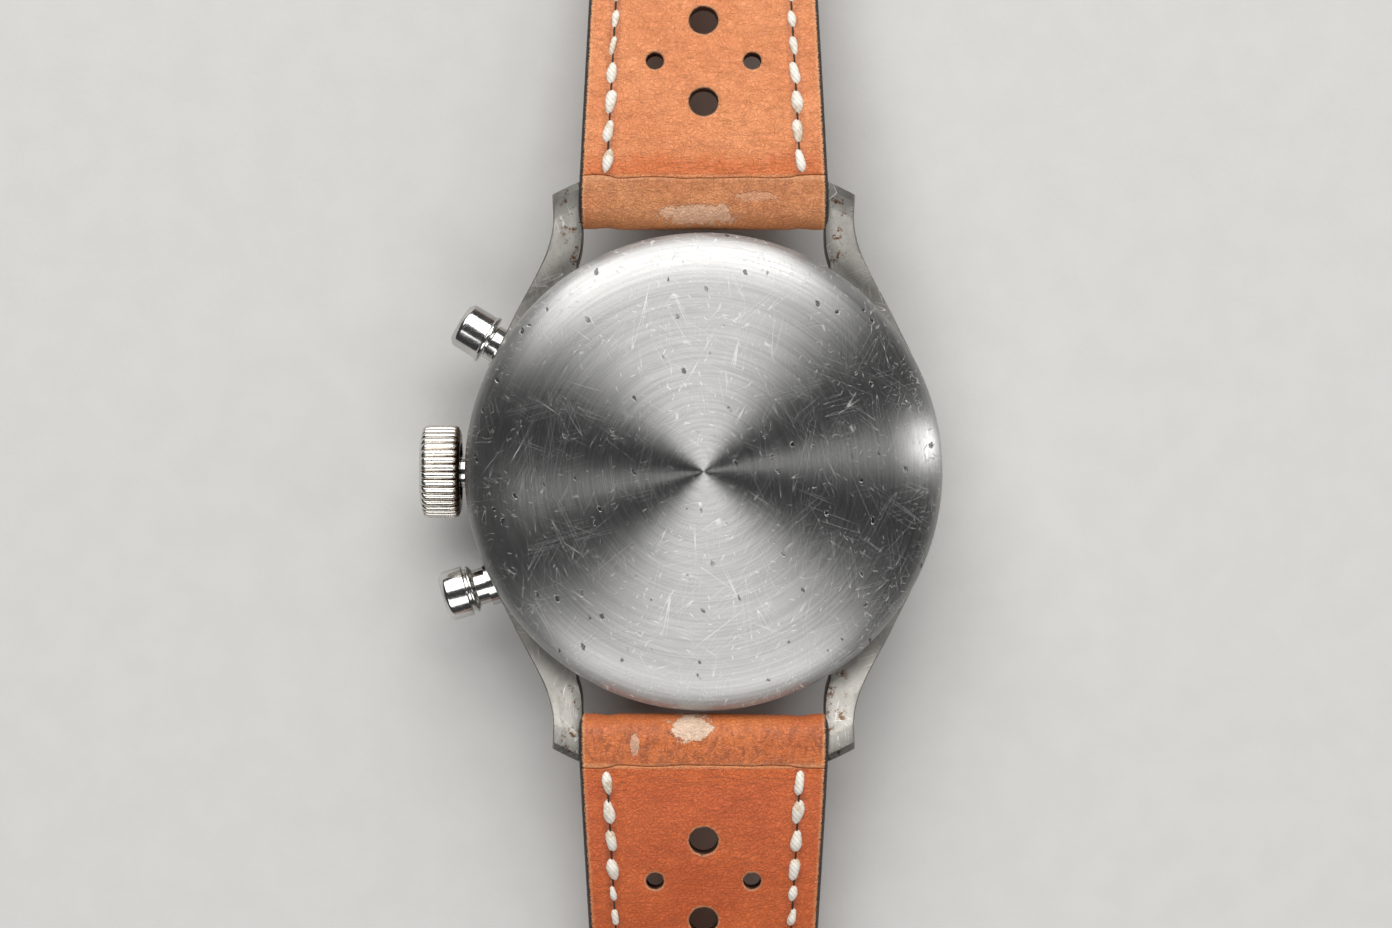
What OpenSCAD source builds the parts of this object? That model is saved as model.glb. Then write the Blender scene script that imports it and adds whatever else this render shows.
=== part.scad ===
// Mechanical chronograph wristwatch, lying face down with its strap open.
// The case back faces +Z, 12 o'clock is at +Y and the crown is at -X.
// The origin is the highest point of the crystal's dome, on the axis of the hands.
// The dial faces -Z, so hands that run clockwise turn in the positive sense about +Z.

/* [Case] */
// Radius of the round case middle
case_r = 18.9; // [18.7:0.05:19]
// Distance from the crystal's dome to the flat of the case back
case_h = 13; // [12.9:0.1:13.5]
// Gap between two lugs
lug_gap = 20; // [19.9:0.05:20.2]
// Distance between the tips of opposite lugs
lug_to_lug = 46.4; // [46:0.1:47]
// Radius of the flat on the case back
back_flat_r = 14.4; // [13:0.1:14.8]

/* [Crown and pushers] */
// Radius of the crown over its flutes
crown_r = 3.72; // [3.5:0.02:3.8]
// Length of the crown
crown_len = 3.2; // [3:0.05:3.3]
// Number of flutes round the crown
crown_flutes = 36; // [24:1:40]
// Direction of the start pusher's axis, in degrees about +Z from +X
start_dir = 148.5; // [148:0.1:149]
// Direction of the reset pusher's axis, in degrees about +Z from +X
reset_dir = 197; // [196.5:0.1:197.5]
// Sideways offset of the reset pusher's axis from the watch's axis
reset_offset = 3.56; // [3.5:0.02:3.6]
// Radius of the start pusher's cap
start_cap_r = 1.85; // [1.7:0.05:1.9]
// Radius of the reset pusher's cap
reset_cap_r = 2.0; // [1.8:0.05:2.05]

/* [Strap] */
// Width of the strap at the case
strap_w = 19.6; // [19:0.1:19.6]
// Width of the strap at the buckle
strap_end_w = 16; // [16:0.1:16.2]
// Distance from the watch's axis to each spring bar
bar_y = 21.1; // [21:0.05:21.2]
// Thickness of the folded strap at the spring bar
fold_t = 4; // [3.6:0.1:4]
// Thickness of the strap away from the case
strap_t = 2.4; // [2.2:0.1:2.4]
// Distance from the watch's axis to the buckle's bar
buckle_y = 94; // [92:1:98]
// Distance from the watch's axis to the strap's tip
tip_y = 139; // [134:1:144]

/* [Hidden] */
$fn = 72;
gap = 0.02;

// Heights in the case, from the crystal upwards
bezel_top = 4.15;
dial_z = 4.2;
dial_t = 0.4;
plate_z = 4.6;
plate_top = 6.6;
bridge_z = 8.6;
bridge_top = 9.4;
axis_z = 7.4;
bar_z = 9.9;
seat_z = 10.2;
neck_z = 11.2;
ring_top = 9.5;
winding_z = 9.5;
winding_top = 9.75;
chrono_z = 10.3;
chrono_top = 10.5;
chrono_bridge_z = 10.9;
chrono_bridge_top = 11.3;
case_in_r = 16;
neck_r = 17.4;
plate_r = 15.2;

// Crystal
crystal_r = 16.4;
dome_rise = 1.6;
crystal_t = 1.2;

// Lugs
lug_x = lug_gap / 2;
lug_y = lug_to_lug / 2;

// Crown and stem
crown_in = case_r + 0.4;
crown_out = crown_in + crown_len;
flute_depth = 0.16;
stem_r = 0.5;
tube_out_r = 1.3;

// Pushers, with distances along the pusher's own axis
cap_face = 22.75;
start_cap_len = 2.75;
reset_cap_len = 2.45;
neck_pusher_r = 1.43;
pusher_pin_r = 0.6;
pusher_tube_r = 1.75;
start_pin_end = 15.1;
reset_pin_end = 14.6;
tube_shoulder = 16.3;
neck_end = 17.6;

// Strap
flat_y = 50;
buckle_half_z = 4.7;
tip_half_lift = 0.15;
tip_half_z = strap_t / 2 + tip_half_lift;
taper_y = 62;
bar_r = 0.9;
buckle_bar_r = 0.75;
fold_r = fold_t / 2;
end_loop_r = 1.9;
hole_y = 29.15;
hole_pitch = 6.65;
hole_r = 1.15;
small_hole_r = 0.7;
small_hole_x = 3.85;
keeper_w = 4;
keeper_t = 1;
fixed_keeper_y = 86;
sliding_keeper_y = 76;
keeper_gap = 0.15;
buckle_tilt = -13;
buckle_len = 9.5;
arm_in = 8.5;
arm_out = 10;

// Places of the movement's axes
barrel_at = [-2.01, 5.53];
third_at = [3.7, 3.29];
fourth_at = [6.4, 0];
escape_at = [7.3, -3.35];
pallet_at = [5.9, -5.9];
balance_at = [4, -9];
minute_at = 3.2 * [cos(-60), sin(-60)];
crown_wheel_at = [-10.3, 0];
intermediate_at = [-7.93, 3.39];
counter_at = [-6.4, 0];
coupling_at = [4.3, -0.98];
column_at = [-8.2, 9.8];
click_at = [1.5, 10.6];
operating_at = [-12.9, 3.4];
operating_tab = 4.4;
hammer_at = [-6.5, -12];
leg_spots = [[-6.2, 11.8], [8.5, 9], [-1, 12.7], [12.4, 1], [12, -4.6], [-4.6, -4.2]];
cock_leg = [10.3, -8.6];
chrono_leg = [-9.9, -3.2];
chrono_end = [9.6, 0];
stem_slot_w = 4.3;
stem_slot_z = 5.2;
pivot_r = 0.15;
pivot_fit = 0.02;
jewel_r = 0.6;

steel = "silver";
brass = "goldenrod";
rhodium = "gainsboro";
blued = "midnightblue";
ruby = "crimson";
tan_leather = [0.78, 0.43, 0.2];

// ---- Helpers ----

function polar(r, a) = r * [cos(a), sin(a)];
function arc(centre, r, from, to, steps) =
    [for (i = [0:steps]) centre + polar(r, from + (to - from) * i / steps)];
function heading(from, to) = atan2(to[1] - from[1], to[0] - from[0]);
function smooth(t) = let (u = min(max(t, 0), 1)) u * u * (3 - 2 * u);

module tube(r_out, r_in, z0, z1) {
    translate([0, 0, z0]) difference() {
        cylinder(r = r_out, h = z1 - z0);
        translate([0, 0, -1]) cylinder(r = r_in, h = z1 - z0 + 2);
    }
}

module disc(r, z0, z1) {
    translate([0, 0, z0]) cylinder(r = r, h = z1 - z0);
}

module at(place, z = 0) {
    translate([place[0], place[1], z]) children();
}

// A flat bar with round ends between two places
module link(from, to, w, z0, z1) {
    at(from) disc(w / 2, z0, z1);
    at(to) disc(w / 2, z0, z1);
    at(from, z0) rotate([0, 0, heading(from, to)])
        translate([0, -w * 0.49, 0]) cube([norm(to - from), w * 0.98, z1 - z0]);
}

// Puts +X of a piece along an axis that lies across the case at a distance from its centre
module along(dir, offset = 0) {
    translate([0, 0, axis_z]) rotate([0, 0, dir]) translate([0, offset, 0]) children();
}

// A round bar or hole along +X, from s0 to s1
module rod(r, s0, s1) {
    translate([s0, 0, 0]) rotate([0, 90, 0]) cylinder(r = r, h = s1 - s0);
}

// Outline of a wheel with pointed teeth, the first of them centred on +X
module teeth(count, module_mm) {
    pitch_r = count * module_mm / 2;
    step = 360 / count;
    polygon([for (i = [0:count - 1]) each [
        polar(pitch_r - 1.2 * module_mm, (i - 0.38) * step),
        polar(pitch_r, (i - 0.2) * step),
        polar(pitch_r + module_mm * 0.9, (i - 0.06) * step),
        polar(pitch_r + module_mm * 0.9, (i + 0.06) * step),
        polar(pitch_r, (i + 0.2) * step),
        polar(pitch_r - 1.2 * module_mm, (i + 0.38) * step)
    ]]);
}

// A toothed disc, turned so that a tooth or a gap points along an angle
module gear(count, module_mm, z0, z1, angle = 0, gap_there = false) {
    turn = angle + (gap_there ? 180 / count : 0);
    translate([0, 0, z0]) rotate([0, 0, turn])
        linear_extrude(z1 - z0) teeth(count, module_mm);
}

// Windows between the spokes of a wheel
module spoke_windows(count, r_in, r_out, spoke_w, z0, z1) {
    difference() {
        tube(r_out, r_in, z0, z1);
        for (i = [0:count - 1]) rotate([0, 0, i * 360 / count])
            translate([0, -spoke_w / 2, z0 - 1]) cube([r_out + 1, spoke_w, z1 - z0 + 2]);
    }
}

// A flat spiral spring in a plan view
module spiral(r0, r1, turns, w) {
    steps = 24 * turns;
    rr = [for (i = [0:steps]) r0 + (r1 - r0) * i / steps];
    polygon(concat(
        [for (i = [0:steps]) polar(rr[i] + w / 2, i * 15)],
        [for (i = [steps:-1:0]) polar(rr[i] - w / 2, i * 15)]
    ));
}

// A coil spring along +X made as one swept surface
module coil(r, wire_r, s0, s1, turns) {
    sides = 6;
    rings = 12 * turns;
    centres = [for (i = [0:rings]) [s0 + (s1 - s0) * i / rings, i * 30]];
    points = [for (c = centres) for (k = [0:sides - 1])
        let (a = k * 360 / sides, rad = r + wire_r * cos(a))
        [c[0] + wire_r * sin(a), rad * cos(c[1]), rad * sin(c[1])]];
    skin = [for (i = [0:rings - 1]) for (k = [0:sides - 1])
        let (n = (k + 1) % sides)
        [i * sides + k, i * sides + n, (i + 1) * sides + n, (i + 1) * sides + k]];
    ends = [[for (k = [sides - 1:-1:0]) k], [for (k = [0:sides - 1]) rings * sides + k]];
    polyhedron(points, concat(skin, ends));
}

// ---- Case ----

// One lug, seen in plan, in the quarter where x and y are positive
module lug_plan() {
    polygon([
        [lug_x, 12], [lug_x, lug_y], [lug_x + 2.1, lug_y - 1.1], [lug_x + 2.75, lug_y - 4.7],
        [lug_x + 3.55, lug_y - 7.4], [lug_x + 4.9, lug_y - 10.8], [lug_x + 5.2, lug_y - 12], [lug_x + 2, 9]
    ]);
}

// The same lug, seen from the side, with the distance from the axis as x and the height as y
module lug_side() {
    start_y = 9;
    root_y = 14;
    front_rise = 5.8;
    steps = 8;
    polygon(concat(
        [[start_y, bezel_top + 0.3]],
        [for (i = [0:steps]) [
            root_y + (lug_y - root_y) * i / steps,
            bezel_top + 0.3 + front_rise * pow(i / steps, 2)
        ]],
        [[lug_y, 11.1], [lug_y - 0.7, 11.75], [lug_y - 5.8, seat_z + 0.9], [start_y, seat_z]]
    ));
}

module lug() {
    intersection() {
        linear_extrude(20) lug_plan();
        rotate([90, 0, 90]) linear_extrude(30) lug_side();
    }
}

module lugs() {
    difference() {
        for (mx = [0, 1]) for (my = [0, 1]) mirror([mx, 0, 0]) mirror([0, my, 0]) lug();
        disc(case_in_r + 1, 0, 20);
        disc(case_r + 0.1, seat_z, 20);
        for (s = [-1, 1]) translate([0, s * bar_y, bar_z])
            rod(0.42, -lug_x - 1.2, lug_x + 1.2);
    }
}

module case_middle() color(steel) difference() {
    union() {
        rotate_extrude() polygon([
            [case_in_r, bezel_top + gap], [case_r - 0.6, bezel_top + gap], [case_r - 0.1, 5],
            [case_r, 6], [case_r, 9], [case_r - 0.1, 9.8], [case_r - 0.4, seat_z],
            [neck_r, seat_z], [neck_r, neck_z], [case_in_r, neck_z]
        ]);
        lugs();
    }
    along(180) rod(tube_out_r, 15, 25);
    along(start_dir) rod(pusher_tube_r, 14, 25);
    along(reset_dir, reset_offset) rod(pusher_tube_r, 14, 25);
}

module bezel() color(steel) rotate_extrude() polygon([
    [15.5, 3.65], [crystal_r + gap, 3.65], [crystal_r + gap, 1.9], [17, 1.75],
    [17.8, 2.1], [18.4, 3], [18.5, 3.6], [18.4, bezel_top], [15.5, bezel_top]
]);

module crystal() color("white", 0.4) {
    dome_r = (pow(crystal_r, 2) + pow(dome_rise, 2)) / (2 * dome_rise);
    skirt_z = 3.63;
    steps = 10;
    outer = [for (i = [0:steps]) let (r = crystal_r * i / steps)
        [r, dome_r - sqrt(pow(dome_r, 2) - r * r)]];
    in_r = crystal_r - 1;
    inner = [for (i = [steps:-1:0]) let (r = in_r * i / steps)
        [r, crystal_t + dome_r - sqrt(pow(dome_r, 2) - r * r)]];
    rotate_extrude() polygon(concat(outer, [[crystal_r, skirt_z], [in_r, skirt_z]], inner));
}

module case_back() color(steel) {
    rim = [back_flat_r, case_h];
    shoulder_r = 17.2;
    inner_z = case_h - 0.8;
    rotate_extrude() polygon(concat(
        [[0, inner_z], [15.6, inner_z], [16, inner_z - 0.4], [16, neck_z + gap]],
        [[neck_r + gap, neck_z + gap], [neck_r + gap, 10.75], [17.95, 10.75]],
        [[17.95, seat_z + gap], [case_r - 0.1, seat_z + gap], [case_r, seat_z + 0.4]],
        [[case_r, 11]],
        arc([case_r - 1.1, 11], 1.1, 0, 75, 6),
        [[shoulder_r, 12.3], rim, [0, case_h]]
    ));
}

module back_gasket() color("dimgray") tube(17.93, neck_r + gap, seat_z + gap, 10.73);

module movement_ring() color(brass) difference() {
    tube(case_in_r - gap, plate_r + gap, dial_z + dial_t + gap, ring_top);
    along(180) rod(1.4, 14, 17);
    along(start_dir) rod(0.8, 14, 17);
    along(reset_dir, reset_offset) rod(1.2, 13, 17);
}

module pusher_tube(inner_end) {
    difference() {
        rod(pusher_tube_r - 0.01, inner_end, case_r + 0.15);
        rod(neck_pusher_r + 0.04, tube_shoulder, 25);
        rod(pusher_pin_r + 0.05, 10, 20);
    }
}

// The crown's tube and the two pushers' tubes, pressed into the case
module case_tubes() color(steel) {
    along(180) difference() {
        rod(tube_out_r - 0.01, case_in_r, crown_in + 0.7);
        rod(stem_r + 0.05, 10, 30);
    }
    along(start_dir) pusher_tube(case_in_r);
    along(reset_dir, reset_offset) pusher_tube(case_in_r - 0.1);
}

// One spring bar for each strap half, with its two thin ends in the lugs
module spring_bars() color(steel) for (s = [-1, 1]) translate([0, s * bar_y, bar_z]) {
    rod(bar_r, -lug_x + 0.3, lug_x - 0.3);
    rod(0.4, -lug_x - 1, lug_x + 1);
}

// ---- Dial and hands ----

module dial() color("ivory") difference() {
    disc(15.85, dial_z, dial_z + dial_t);
    disc(1.15, 0, 10);
    for (place = [fourth_at, counter_at]) at(place) {
        disc(0.4, 0, 10);
        disc(4.2, 0, dial_z + 0.1);
    }
}

// Raised hour markers, two of them at 12 and none where a small dial is
module dial_markers() color(steel) {
    inner_r = 12.2;
    len = 2.4;
    w = 0.7;
    z = dial_z - 0.25;
    for (hour = [0:11]) if (hour % 3 != 0 || hour == 6) rotate([0, 0, 90 + hour * 30])
        translate([inner_r, -w / 2, z]) cube([len, w, 0.25]);
    for (s = [-1, 1]) translate([s * 0.6 - w / 2, inner_r, z]) cube([w, len, 0.25]);
}

// A hand with a round hub and a tapered blade that points along +Y
module hand(len, tail, w, hub_r, bore_r, z0, z1) {
    tip_w = 0.12;
    translate([0, 0, z0]) difference() {
        linear_extrude(z1 - z0) union() {
            circle(hub_r);
            polygon([
                [-w / 2, 0], [-w * 0.3, -tail], [w * 0.3, -tail], [w / 2, 0],
                [tip_w / 2, len], [-tip_w / 2, len]
            ]);
        }
        translate([0, 0, -1]) cylinder(r = bore_r, h = 3);
    }
}

module hour_hand() color(blued) rotate([0, 0, 54])
    hand(8.4, 2.2, 1.3, 1.6, 1, 3.45, 3.6);

module minute_hand() color(blued) rotate([0, 0, -62])
    hand(13, 2.6, 1, 1.1, 0.7, 3.1, 3.25);

module chronograph_hand() color(blued) hand(14, 4, 0.5, 0.7, 0.17, 2.75, 2.9);

module small_hand() hand(3.7, 1.2, 0.45, 0.45, 0.17, 3.75, 3.9);

module small_seconds_hand() color(blued) at(fourth_at) rotate([0, 0, 130]) small_hand();

module minute_counter_hand() color(blued) at(counter_at) small_hand();

// Motion works: the cannon pinion turns the minute wheel, and its pinion turns the hour wheel
module cannon_pinion() color(steel) difference() {
    union() {
        disc(0.69, 3.05, 5.1);
        gear(10, 0.16, 5.05, 5.45, heading([0, 0], minute_at));
    }
    disc(0.45, 0, 10);
}

module minute_wheel() color(brass) at(minute_at) difference() {
    union() {
        gear(30, 0.16, 5.12, 5.35, heading(minute_at, [0, 0]), true);
        gear(8, 0.16, 4.68, 5.13, heading(minute_at, [0, 0]), true);
    }
    disc(0.32, 0, 10);
}

module hour_wheel() color(brass) difference() {
    union() {
        gear(32, 0.16, 4.72, 4.98, heading([0, 0], minute_at));
        disc(1, 3.4, 4.75);
    }
    disc(0.73, 0, 10);
}

// ---- Winding ----

module crown() color(steel) along(180) difference() {
    intersection() {
        rotate([90, 0, 90]) translate([0, 0, crown_in]) linear_extrude(crown_len)
            polygon([for (i = [0:crown_flutes - 1]) for (k = [0:3])
                let (cut = k == 0 || k == 3 ? flute_depth : 0)
                polar(crown_r - cut, (i + k / 4 + 0.125) * 360 / crown_flutes)]);
        rotate([0, 90, 0]) rotate_extrude() polygon([
            [0, crown_in], [crown_r - 0.4, crown_in], [crown_r, crown_in + 0.45],
            [crown_r, crown_out - 0.6], [crown_r - 0.2, crown_out - 0.3],
            [crown_r - 0.7, crown_out - 0.08], [0, crown_out]
        ]);
    }
    rod(2.2, crown_in - 1, crown_in + 0.9);
    rod(stem_r, crown_in, crown_out - 0.6);
}

module winding_stem() color(steel) along(180) {
    square_w = 0.7;
    rod(stem_r, 9.3, crown_out - 0.6);
    translate([6.95, -square_w / 2, -square_w / 2]) cube([3, square_w, square_w]);
}

module winding_pinion() color(steel) along(180) difference() {
    translate([7.65, 0, 0]) rotate([90, 0, 90]) linear_extrude(1) teeth(20, 0.18);
    translate([6, -0.38, -0.38]) cube([4, 0.76, 0.76]);
}

// Driven from below by the winding pinion, whose axis crosses this wheel's own
module crown_wheel() color(steel) at(crown_wheel_at) difference() {
    gear(24, 0.18, winding_z, winding_top, heading(crown_wheel_at, intermediate_at));
    disc(0.65, 0, 20);
}

module intermediate_wheel() color(steel) at(intermediate_at) difference() {
    gear(22, 0.18, winding_z, winding_top, heading(intermediate_at, crown_wheel_at), true);
    disc(0.5, 0, 20);
}

// The ratchet wheel on top of the barrel bridge, with the barrel's arbor below it.
// It is turned so that one of its gaps meets the tooth that the intermediate wheel has nearest to it.
module ratchet_wheel() color(steel) at(barrel_at) {
    tooth_step = 360 / 22;
    first_tooth = heading(intermediate_at, crown_wheel_at) + tooth_step / 2;
    here = heading(intermediate_at, barrel_at);
    past_tooth = (here - first_tooth) / tooth_step;
    off_pitch = past_tooth - round(past_tooth);
    ratchet_turn = heading(barrel_at, intermediate_at) + (0.5 + off_pitch) * 360 / 48;
    gear(48, 0.18, winding_z, winding_top, ratchet_turn);
    disc(0.8, 6, 9.9);
    disc(1.3, 6.95, 7.6);
}

module click() color(steel) at(click_at) difference() {
    union() {
        disc(0.7, winding_z, winding_top);
        translate([0, 0, winding_z]) rotate([0, 0, heading(click_at, barrel_at) - 22])
            linear_extrude(winding_top - winding_z)
                polygon([[0, -0.6], [1.55, 0.1], [1.5, 0.35], [0, 0.6]]);
    }
    disc(0.3, 0, 20);
}

// ---- Pushers ----

// A pusher along +X: cap with a base flange, neck, and pin that reaches into the movement
module pusher(cap_r, cap_len, pin_end) {
    base = cap_face - cap_len;
    rotate([0, 90, 0]) rotate_extrude() polygon([
        [0, pin_end], [pusher_pin_r, pin_end], [pusher_pin_r, neck_end],
        [neck_pusher_r, neck_end], [neck_pusher_r, base - 0.15], [1.2, base - 0.15], [1.2, base],
        [cap_r + 0.15, base], [cap_r + 0.15, base + 0.3], [cap_r, base + 0.35],
        [cap_r, cap_face - 0.3], [cap_r - 0.3, cap_face - 0.04], [0, cap_face]
    ]);
}

module start_pusher() color(steel) along(start_dir)
    pusher(start_cap_r, start_cap_len, start_pin_end);

module reset_pusher() color(steel) along(reset_dir, reset_offset)
    pusher(reset_cap_r, reset_cap_len, reset_pin_end);

module pusher_spring() {
    wire_r = 0.12;
    coil(1, wire_r, tube_shoulder + 0.15, neck_end - 0.15, 4);
}

module start_pusher_spring() color(steel) along(start_dir) pusher_spring();

module reset_pusher_spring() color(steel) along(reset_dir, reset_offset) pusher_spring();

// ---- Plates and bridges ----

module main_plate() color(rhodium) difference() {
    union() {
        disc(plate_r, plate_z + gap, plate_top);
        at(minute_at) disc(0.3, plate_z + gap, plate_top);
    }
    difference() {
        union() {
            disc(3, 4, 5.5);
            at(minute_at) disc(2.75, 4, 5.5);
        }
        at(minute_at) disc(0.3, 3, 6);
    }
    disc(0.5, 0, 20);
    for (place = [third_at, escape_at, pallet_at, balance_at]) at(place)
        disc(pivot_r + pivot_fit, 6, 20);
    for (place = [fourth_at, counter_at]) at(place) disc(0.2, 0, 20);
    at(barrel_at) disc(0.82, 5.9, 20);
    translate([-plate_r - 1, -stem_slot_w / 2, stem_slot_z]) cube([plate_r - 5.8, stem_slot_w, 5]);
}

module legs(places, z1) {
    for (place = places) at(place) disc(1, plate_top, z1);
}

module screw_holes(places) {
    for (place = places) at(place) disc(0.4, 7.6, 20);
}

module jewel_holes(places) {
    for (place = places) at(place) disc(jewel_r + 0.01, 8, 20);
}

module barrel_bridge() color(rhodium) difference() {
    union() {
        intersection() {
            disc(14.6, bridge_z, bridge_top);
            translate([-20, 2.3, 0]) cube([40, 20, 20]);
        }
        link([crown_wheel_at[0], 3.6], crown_wheel_at, 3, bridge_z, bridge_top);
        legs([leg_spots[0], leg_spots[1], leg_spots[2]], bridge_z);
    }
    at([-12.5, 7.8]) disc(2.3, 8, 10);
    at([-14.5, 3.6]) disc(2, 8, 10);
    at(barrel_at) disc(0.83, 8, 10);
    jewel_holes([third_at]);
    screw_holes([leg_spots[0], leg_spots[1], leg_spots[2]]);
}

module train_bridge() color(rhodium) difference() {
    union() {
        intersection() {
            disc(14.6, bridge_z, bridge_top);
            translate([-5.8, -5.6, 0]) cube([25, 7.8, 20]);
        }
        legs([leg_spots[3], leg_spots[4], leg_spots[5]], bridge_z);
    }
    jewel_holes([[0, 0], fourth_at, escape_at]);
    at(counter_at) disc(1, 8, 10);
    screw_holes([leg_spots[3], leg_spots[4], leg_spots[5]]);
}

module pallet_bridge() color(rhodium) difference() {
    union() {
        link(pallet_at, pallet_at + [3.4, -0.6], 1.3, 7.3, 7.5);
        at(pallet_at + [3.4, -0.6]) disc(0.65, plate_top, 7.5);
    }
    at(pallet_at) disc(pivot_r + pivot_fit, 7, 8);
}

module balance_cock() color(rhodium) difference() {
    union() {
        link(balance_at, cock_leg, 2.6, bridge_z, bridge_top);
        at(cock_leg) disc(1.3, plate_top, bridge_top);
    }
    jewel_holes([balance_at]);
    screw_holes([cock_leg]);
}

module chronograph_bridge() color(rhodium) difference() {
    union() {
        link([0, 0], chrono_leg, 1.8, chrono_bridge_z, chrono_bridge_top);
        link([0, 0], chrono_end, 1.8, chrono_bridge_z, chrono_bridge_top);
        link([0, 0], counter_at, 1.5, chrono_bridge_z, chrono_bridge_top);
        at(chrono_leg) disc(0.9, plate_top, 11);
        at(chrono_end) disc(0.9, bridge_top, 11);
    }
    for (place = [[0, 0], counter_at]) at(place) disc(0.2, 10, 12);
}

// Ring jewels in the bridges' upper faces
module jewels() color(ruby) {
    jewel_z = 9.1;
    for (place = [third_at, escape_at, balance_at]) at(place)
        tube(jewel_r, pivot_r + pivot_fit, jewel_z, bridge_top);
    at(fourth_at) tube(jewel_r, 0.32, jewel_z, bridge_top);
    tube(jewel_r, 0.22, jewel_z, bridge_top);
}

module movement_screws() color(blued)
    for (place = concat(leg_spots, [cock_leg])) at(place) difference() {
        union() {
            disc(0.65, bridge_top, bridge_top + 0.3);
            disc(0.39, 7.7, bridge_top + 0.1);
        }
        translate([-1, -0.08, bridge_top + 0.15]) cube([2, 0.16, 1]);
    }

// ---- Power and train ----

module barrel_drum() color(brass) at(barrel_at) difference() {
    union() {
        disc(4.7, 6.7, 7.8);
        gear(72, 0.14, 6.75, 7.1, heading(barrel_at, [0, 0]));
    }
    disc(4.4, 6.85, 7.65);
    disc(0.84, 0, 20);
}

module mainspring() color(steel) at(barrel_at, 6.95) linear_extrude(0.6) spiral(1.45, 4.2, 5, 0.14);

// An arbor with thin pivots at both ends
module arbor(z0, z1, low, high) {
    disc(0.3, z0, z1);
    disc(pivot_r, low, high);
}

module centre_wheel() color(brass) difference() {
    union() {
        gear(12, 0.14, 6.7, 7.2, heading([0, 0], barrel_at), true);
        disc(0.6, 7.1, 8.4);
        disc(0.44, 3.1, 8.4);
        gear(80, 0.11, 7.95, 8.1, heading([0, 0], third_at));
    }
    disc(0.24, 0, 20);
    spoke_windows(5, 0.95, 3.6, 0.5, 7.9, 8.2);
}

module third_wheel() color(brass) at(third_at) difference() {
    union() {
        arbor(6.7, 8.5, 6.3, 9.3);
        gear(10, 0.11, 7.85, 8.17, heading(third_at, [0, 0]), true);
        gear(75, 0.1, 8.2, 8.35, heading(third_at, fourth_at));
    }
    spoke_windows(5, 0.85, 3, 0.4, 8.18, 8.4);
}

// The fourth wheel carries the small seconds hand below the dial and the chronograph's driver above
module fourth_wheel() color(brass) at(fourth_at) difference() {
    union() {
        arbor(6.7, 10.3, 3.8, 10.6);
        gear(10, 0.1, 8.1, 8.5, heading(fourth_at, third_at), true);
        gear(70, 0.09, 7.5, 7.65, heading(fourth_at, escape_at));
        gear(38, 0.08, chrono_z, chrono_top, heading(fourth_at, coupling_at));
    }
    spoke_windows(5, 0.8, 2.5, 0.4, 7.4, 7.7);
}

// A fifteen-tooth wheel with leaning teeth
module escape_wheel() color(steel) at(escape_at) difference() {
    union() {
        arbor(6.7, 8.5, 6.3, 9.3);
        gear(7, 0.09, 7.42, 7.78, heading(escape_at, fourth_at), true);
        translate([0, 0, 7]) linear_extrude(0.15) polygon([
            for (i = [0:14]) let (a = i * 24)
                each [polar(1.6, a), polar(2.2, a + 10), polar(2.2, a + 12.5), polar(1.6, a + 13)]
        ]);
    }
    spoke_windows(4, 0.5, 1.3, 0.3, 6.9, 7.2);
}

module pallet_fork() color(steel) at(pallet_at) {
    disc(0.25, 6.75, 7.25);
    disc(pivot_r, 6.3, 7.48);
    translate([0, 0, 7]) {
        rotate([0, 0, heading(pallet_at, balance_at)]) translate([0, -0.15, 0]) cube([2.85, 0.3, 0.15]);
        for (s = [-1, 1]) rotate([0, 0, heading(pallet_at, escape_at) + s * 48])
            translate([0, -0.15, 0]) cube([1.15, 0.3, 0.15]);
    }
}

module balance_wheel() color(brass) at(balance_at) {
    disc(0.3, 6.7, 8.5);
    disc(pivot_r, 6.3, 9.3);
    disc(0.6, 7, 7.3);
    tube(4.4, 3.9, 7.6, 8);
    translate([-4.1, -0.25, 7.7]) cube([8.2, 0.5, 0.2]);
    for (a = [15:30:345]) rotate([0, 0, a]) translate([0, 0, 7.8]) rod(0.15, 4.3, 4.65);
}

module hairspring() color(blued) at(balance_at, 8.2) linear_extrude(0.15) spiral(0.42, 2.3, 8, 0.05);

// ---- Chronograph works ----

module column_wheel() color(steel) at(column_at) difference() {
    union() {
        gear(12, 0.22, winding_z, winding_top, 0);
        disc(0.95, winding_top, 10);
        for (i = [0:5]) rotate([0, 0, i * 60]) translate([0.55, -0.2, 9.9]) cube([0.4, 0.4, 0.8]);
    }
    disc(0.3, 0, 20);
}

// Turned by the start pusher's pin, which meets the tab that reaches down at its end
module operating_lever() color(steel) difference() {
    union() {
        link(operating_at, operating_at + [0.35, operating_tab], 1.1, 9.6, 9.95);
        along(start_dir) translate([14.5, -0.6, -0.4]) cube([0.5, 1.2, 2.6]);
    }
    at(operating_at) disc(0.3, 0, 20);
}

module coupling_lever() color(steel) difference() {
    link(fourth_at, coupling_at, 1.1, 9.8, 10);
    at(fourth_at) disc(0.35, 0, 20);
    at(coupling_at) disc(0.17, 0, 20);
}

module coupling_wheel() color(brass) at(coupling_at) {
    gear(20, 0.08, chrono_z, chrono_top, heading(coupling_at, fourth_at), true);
    disc(pivot_r, 9.85, 10.4);
}

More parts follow.
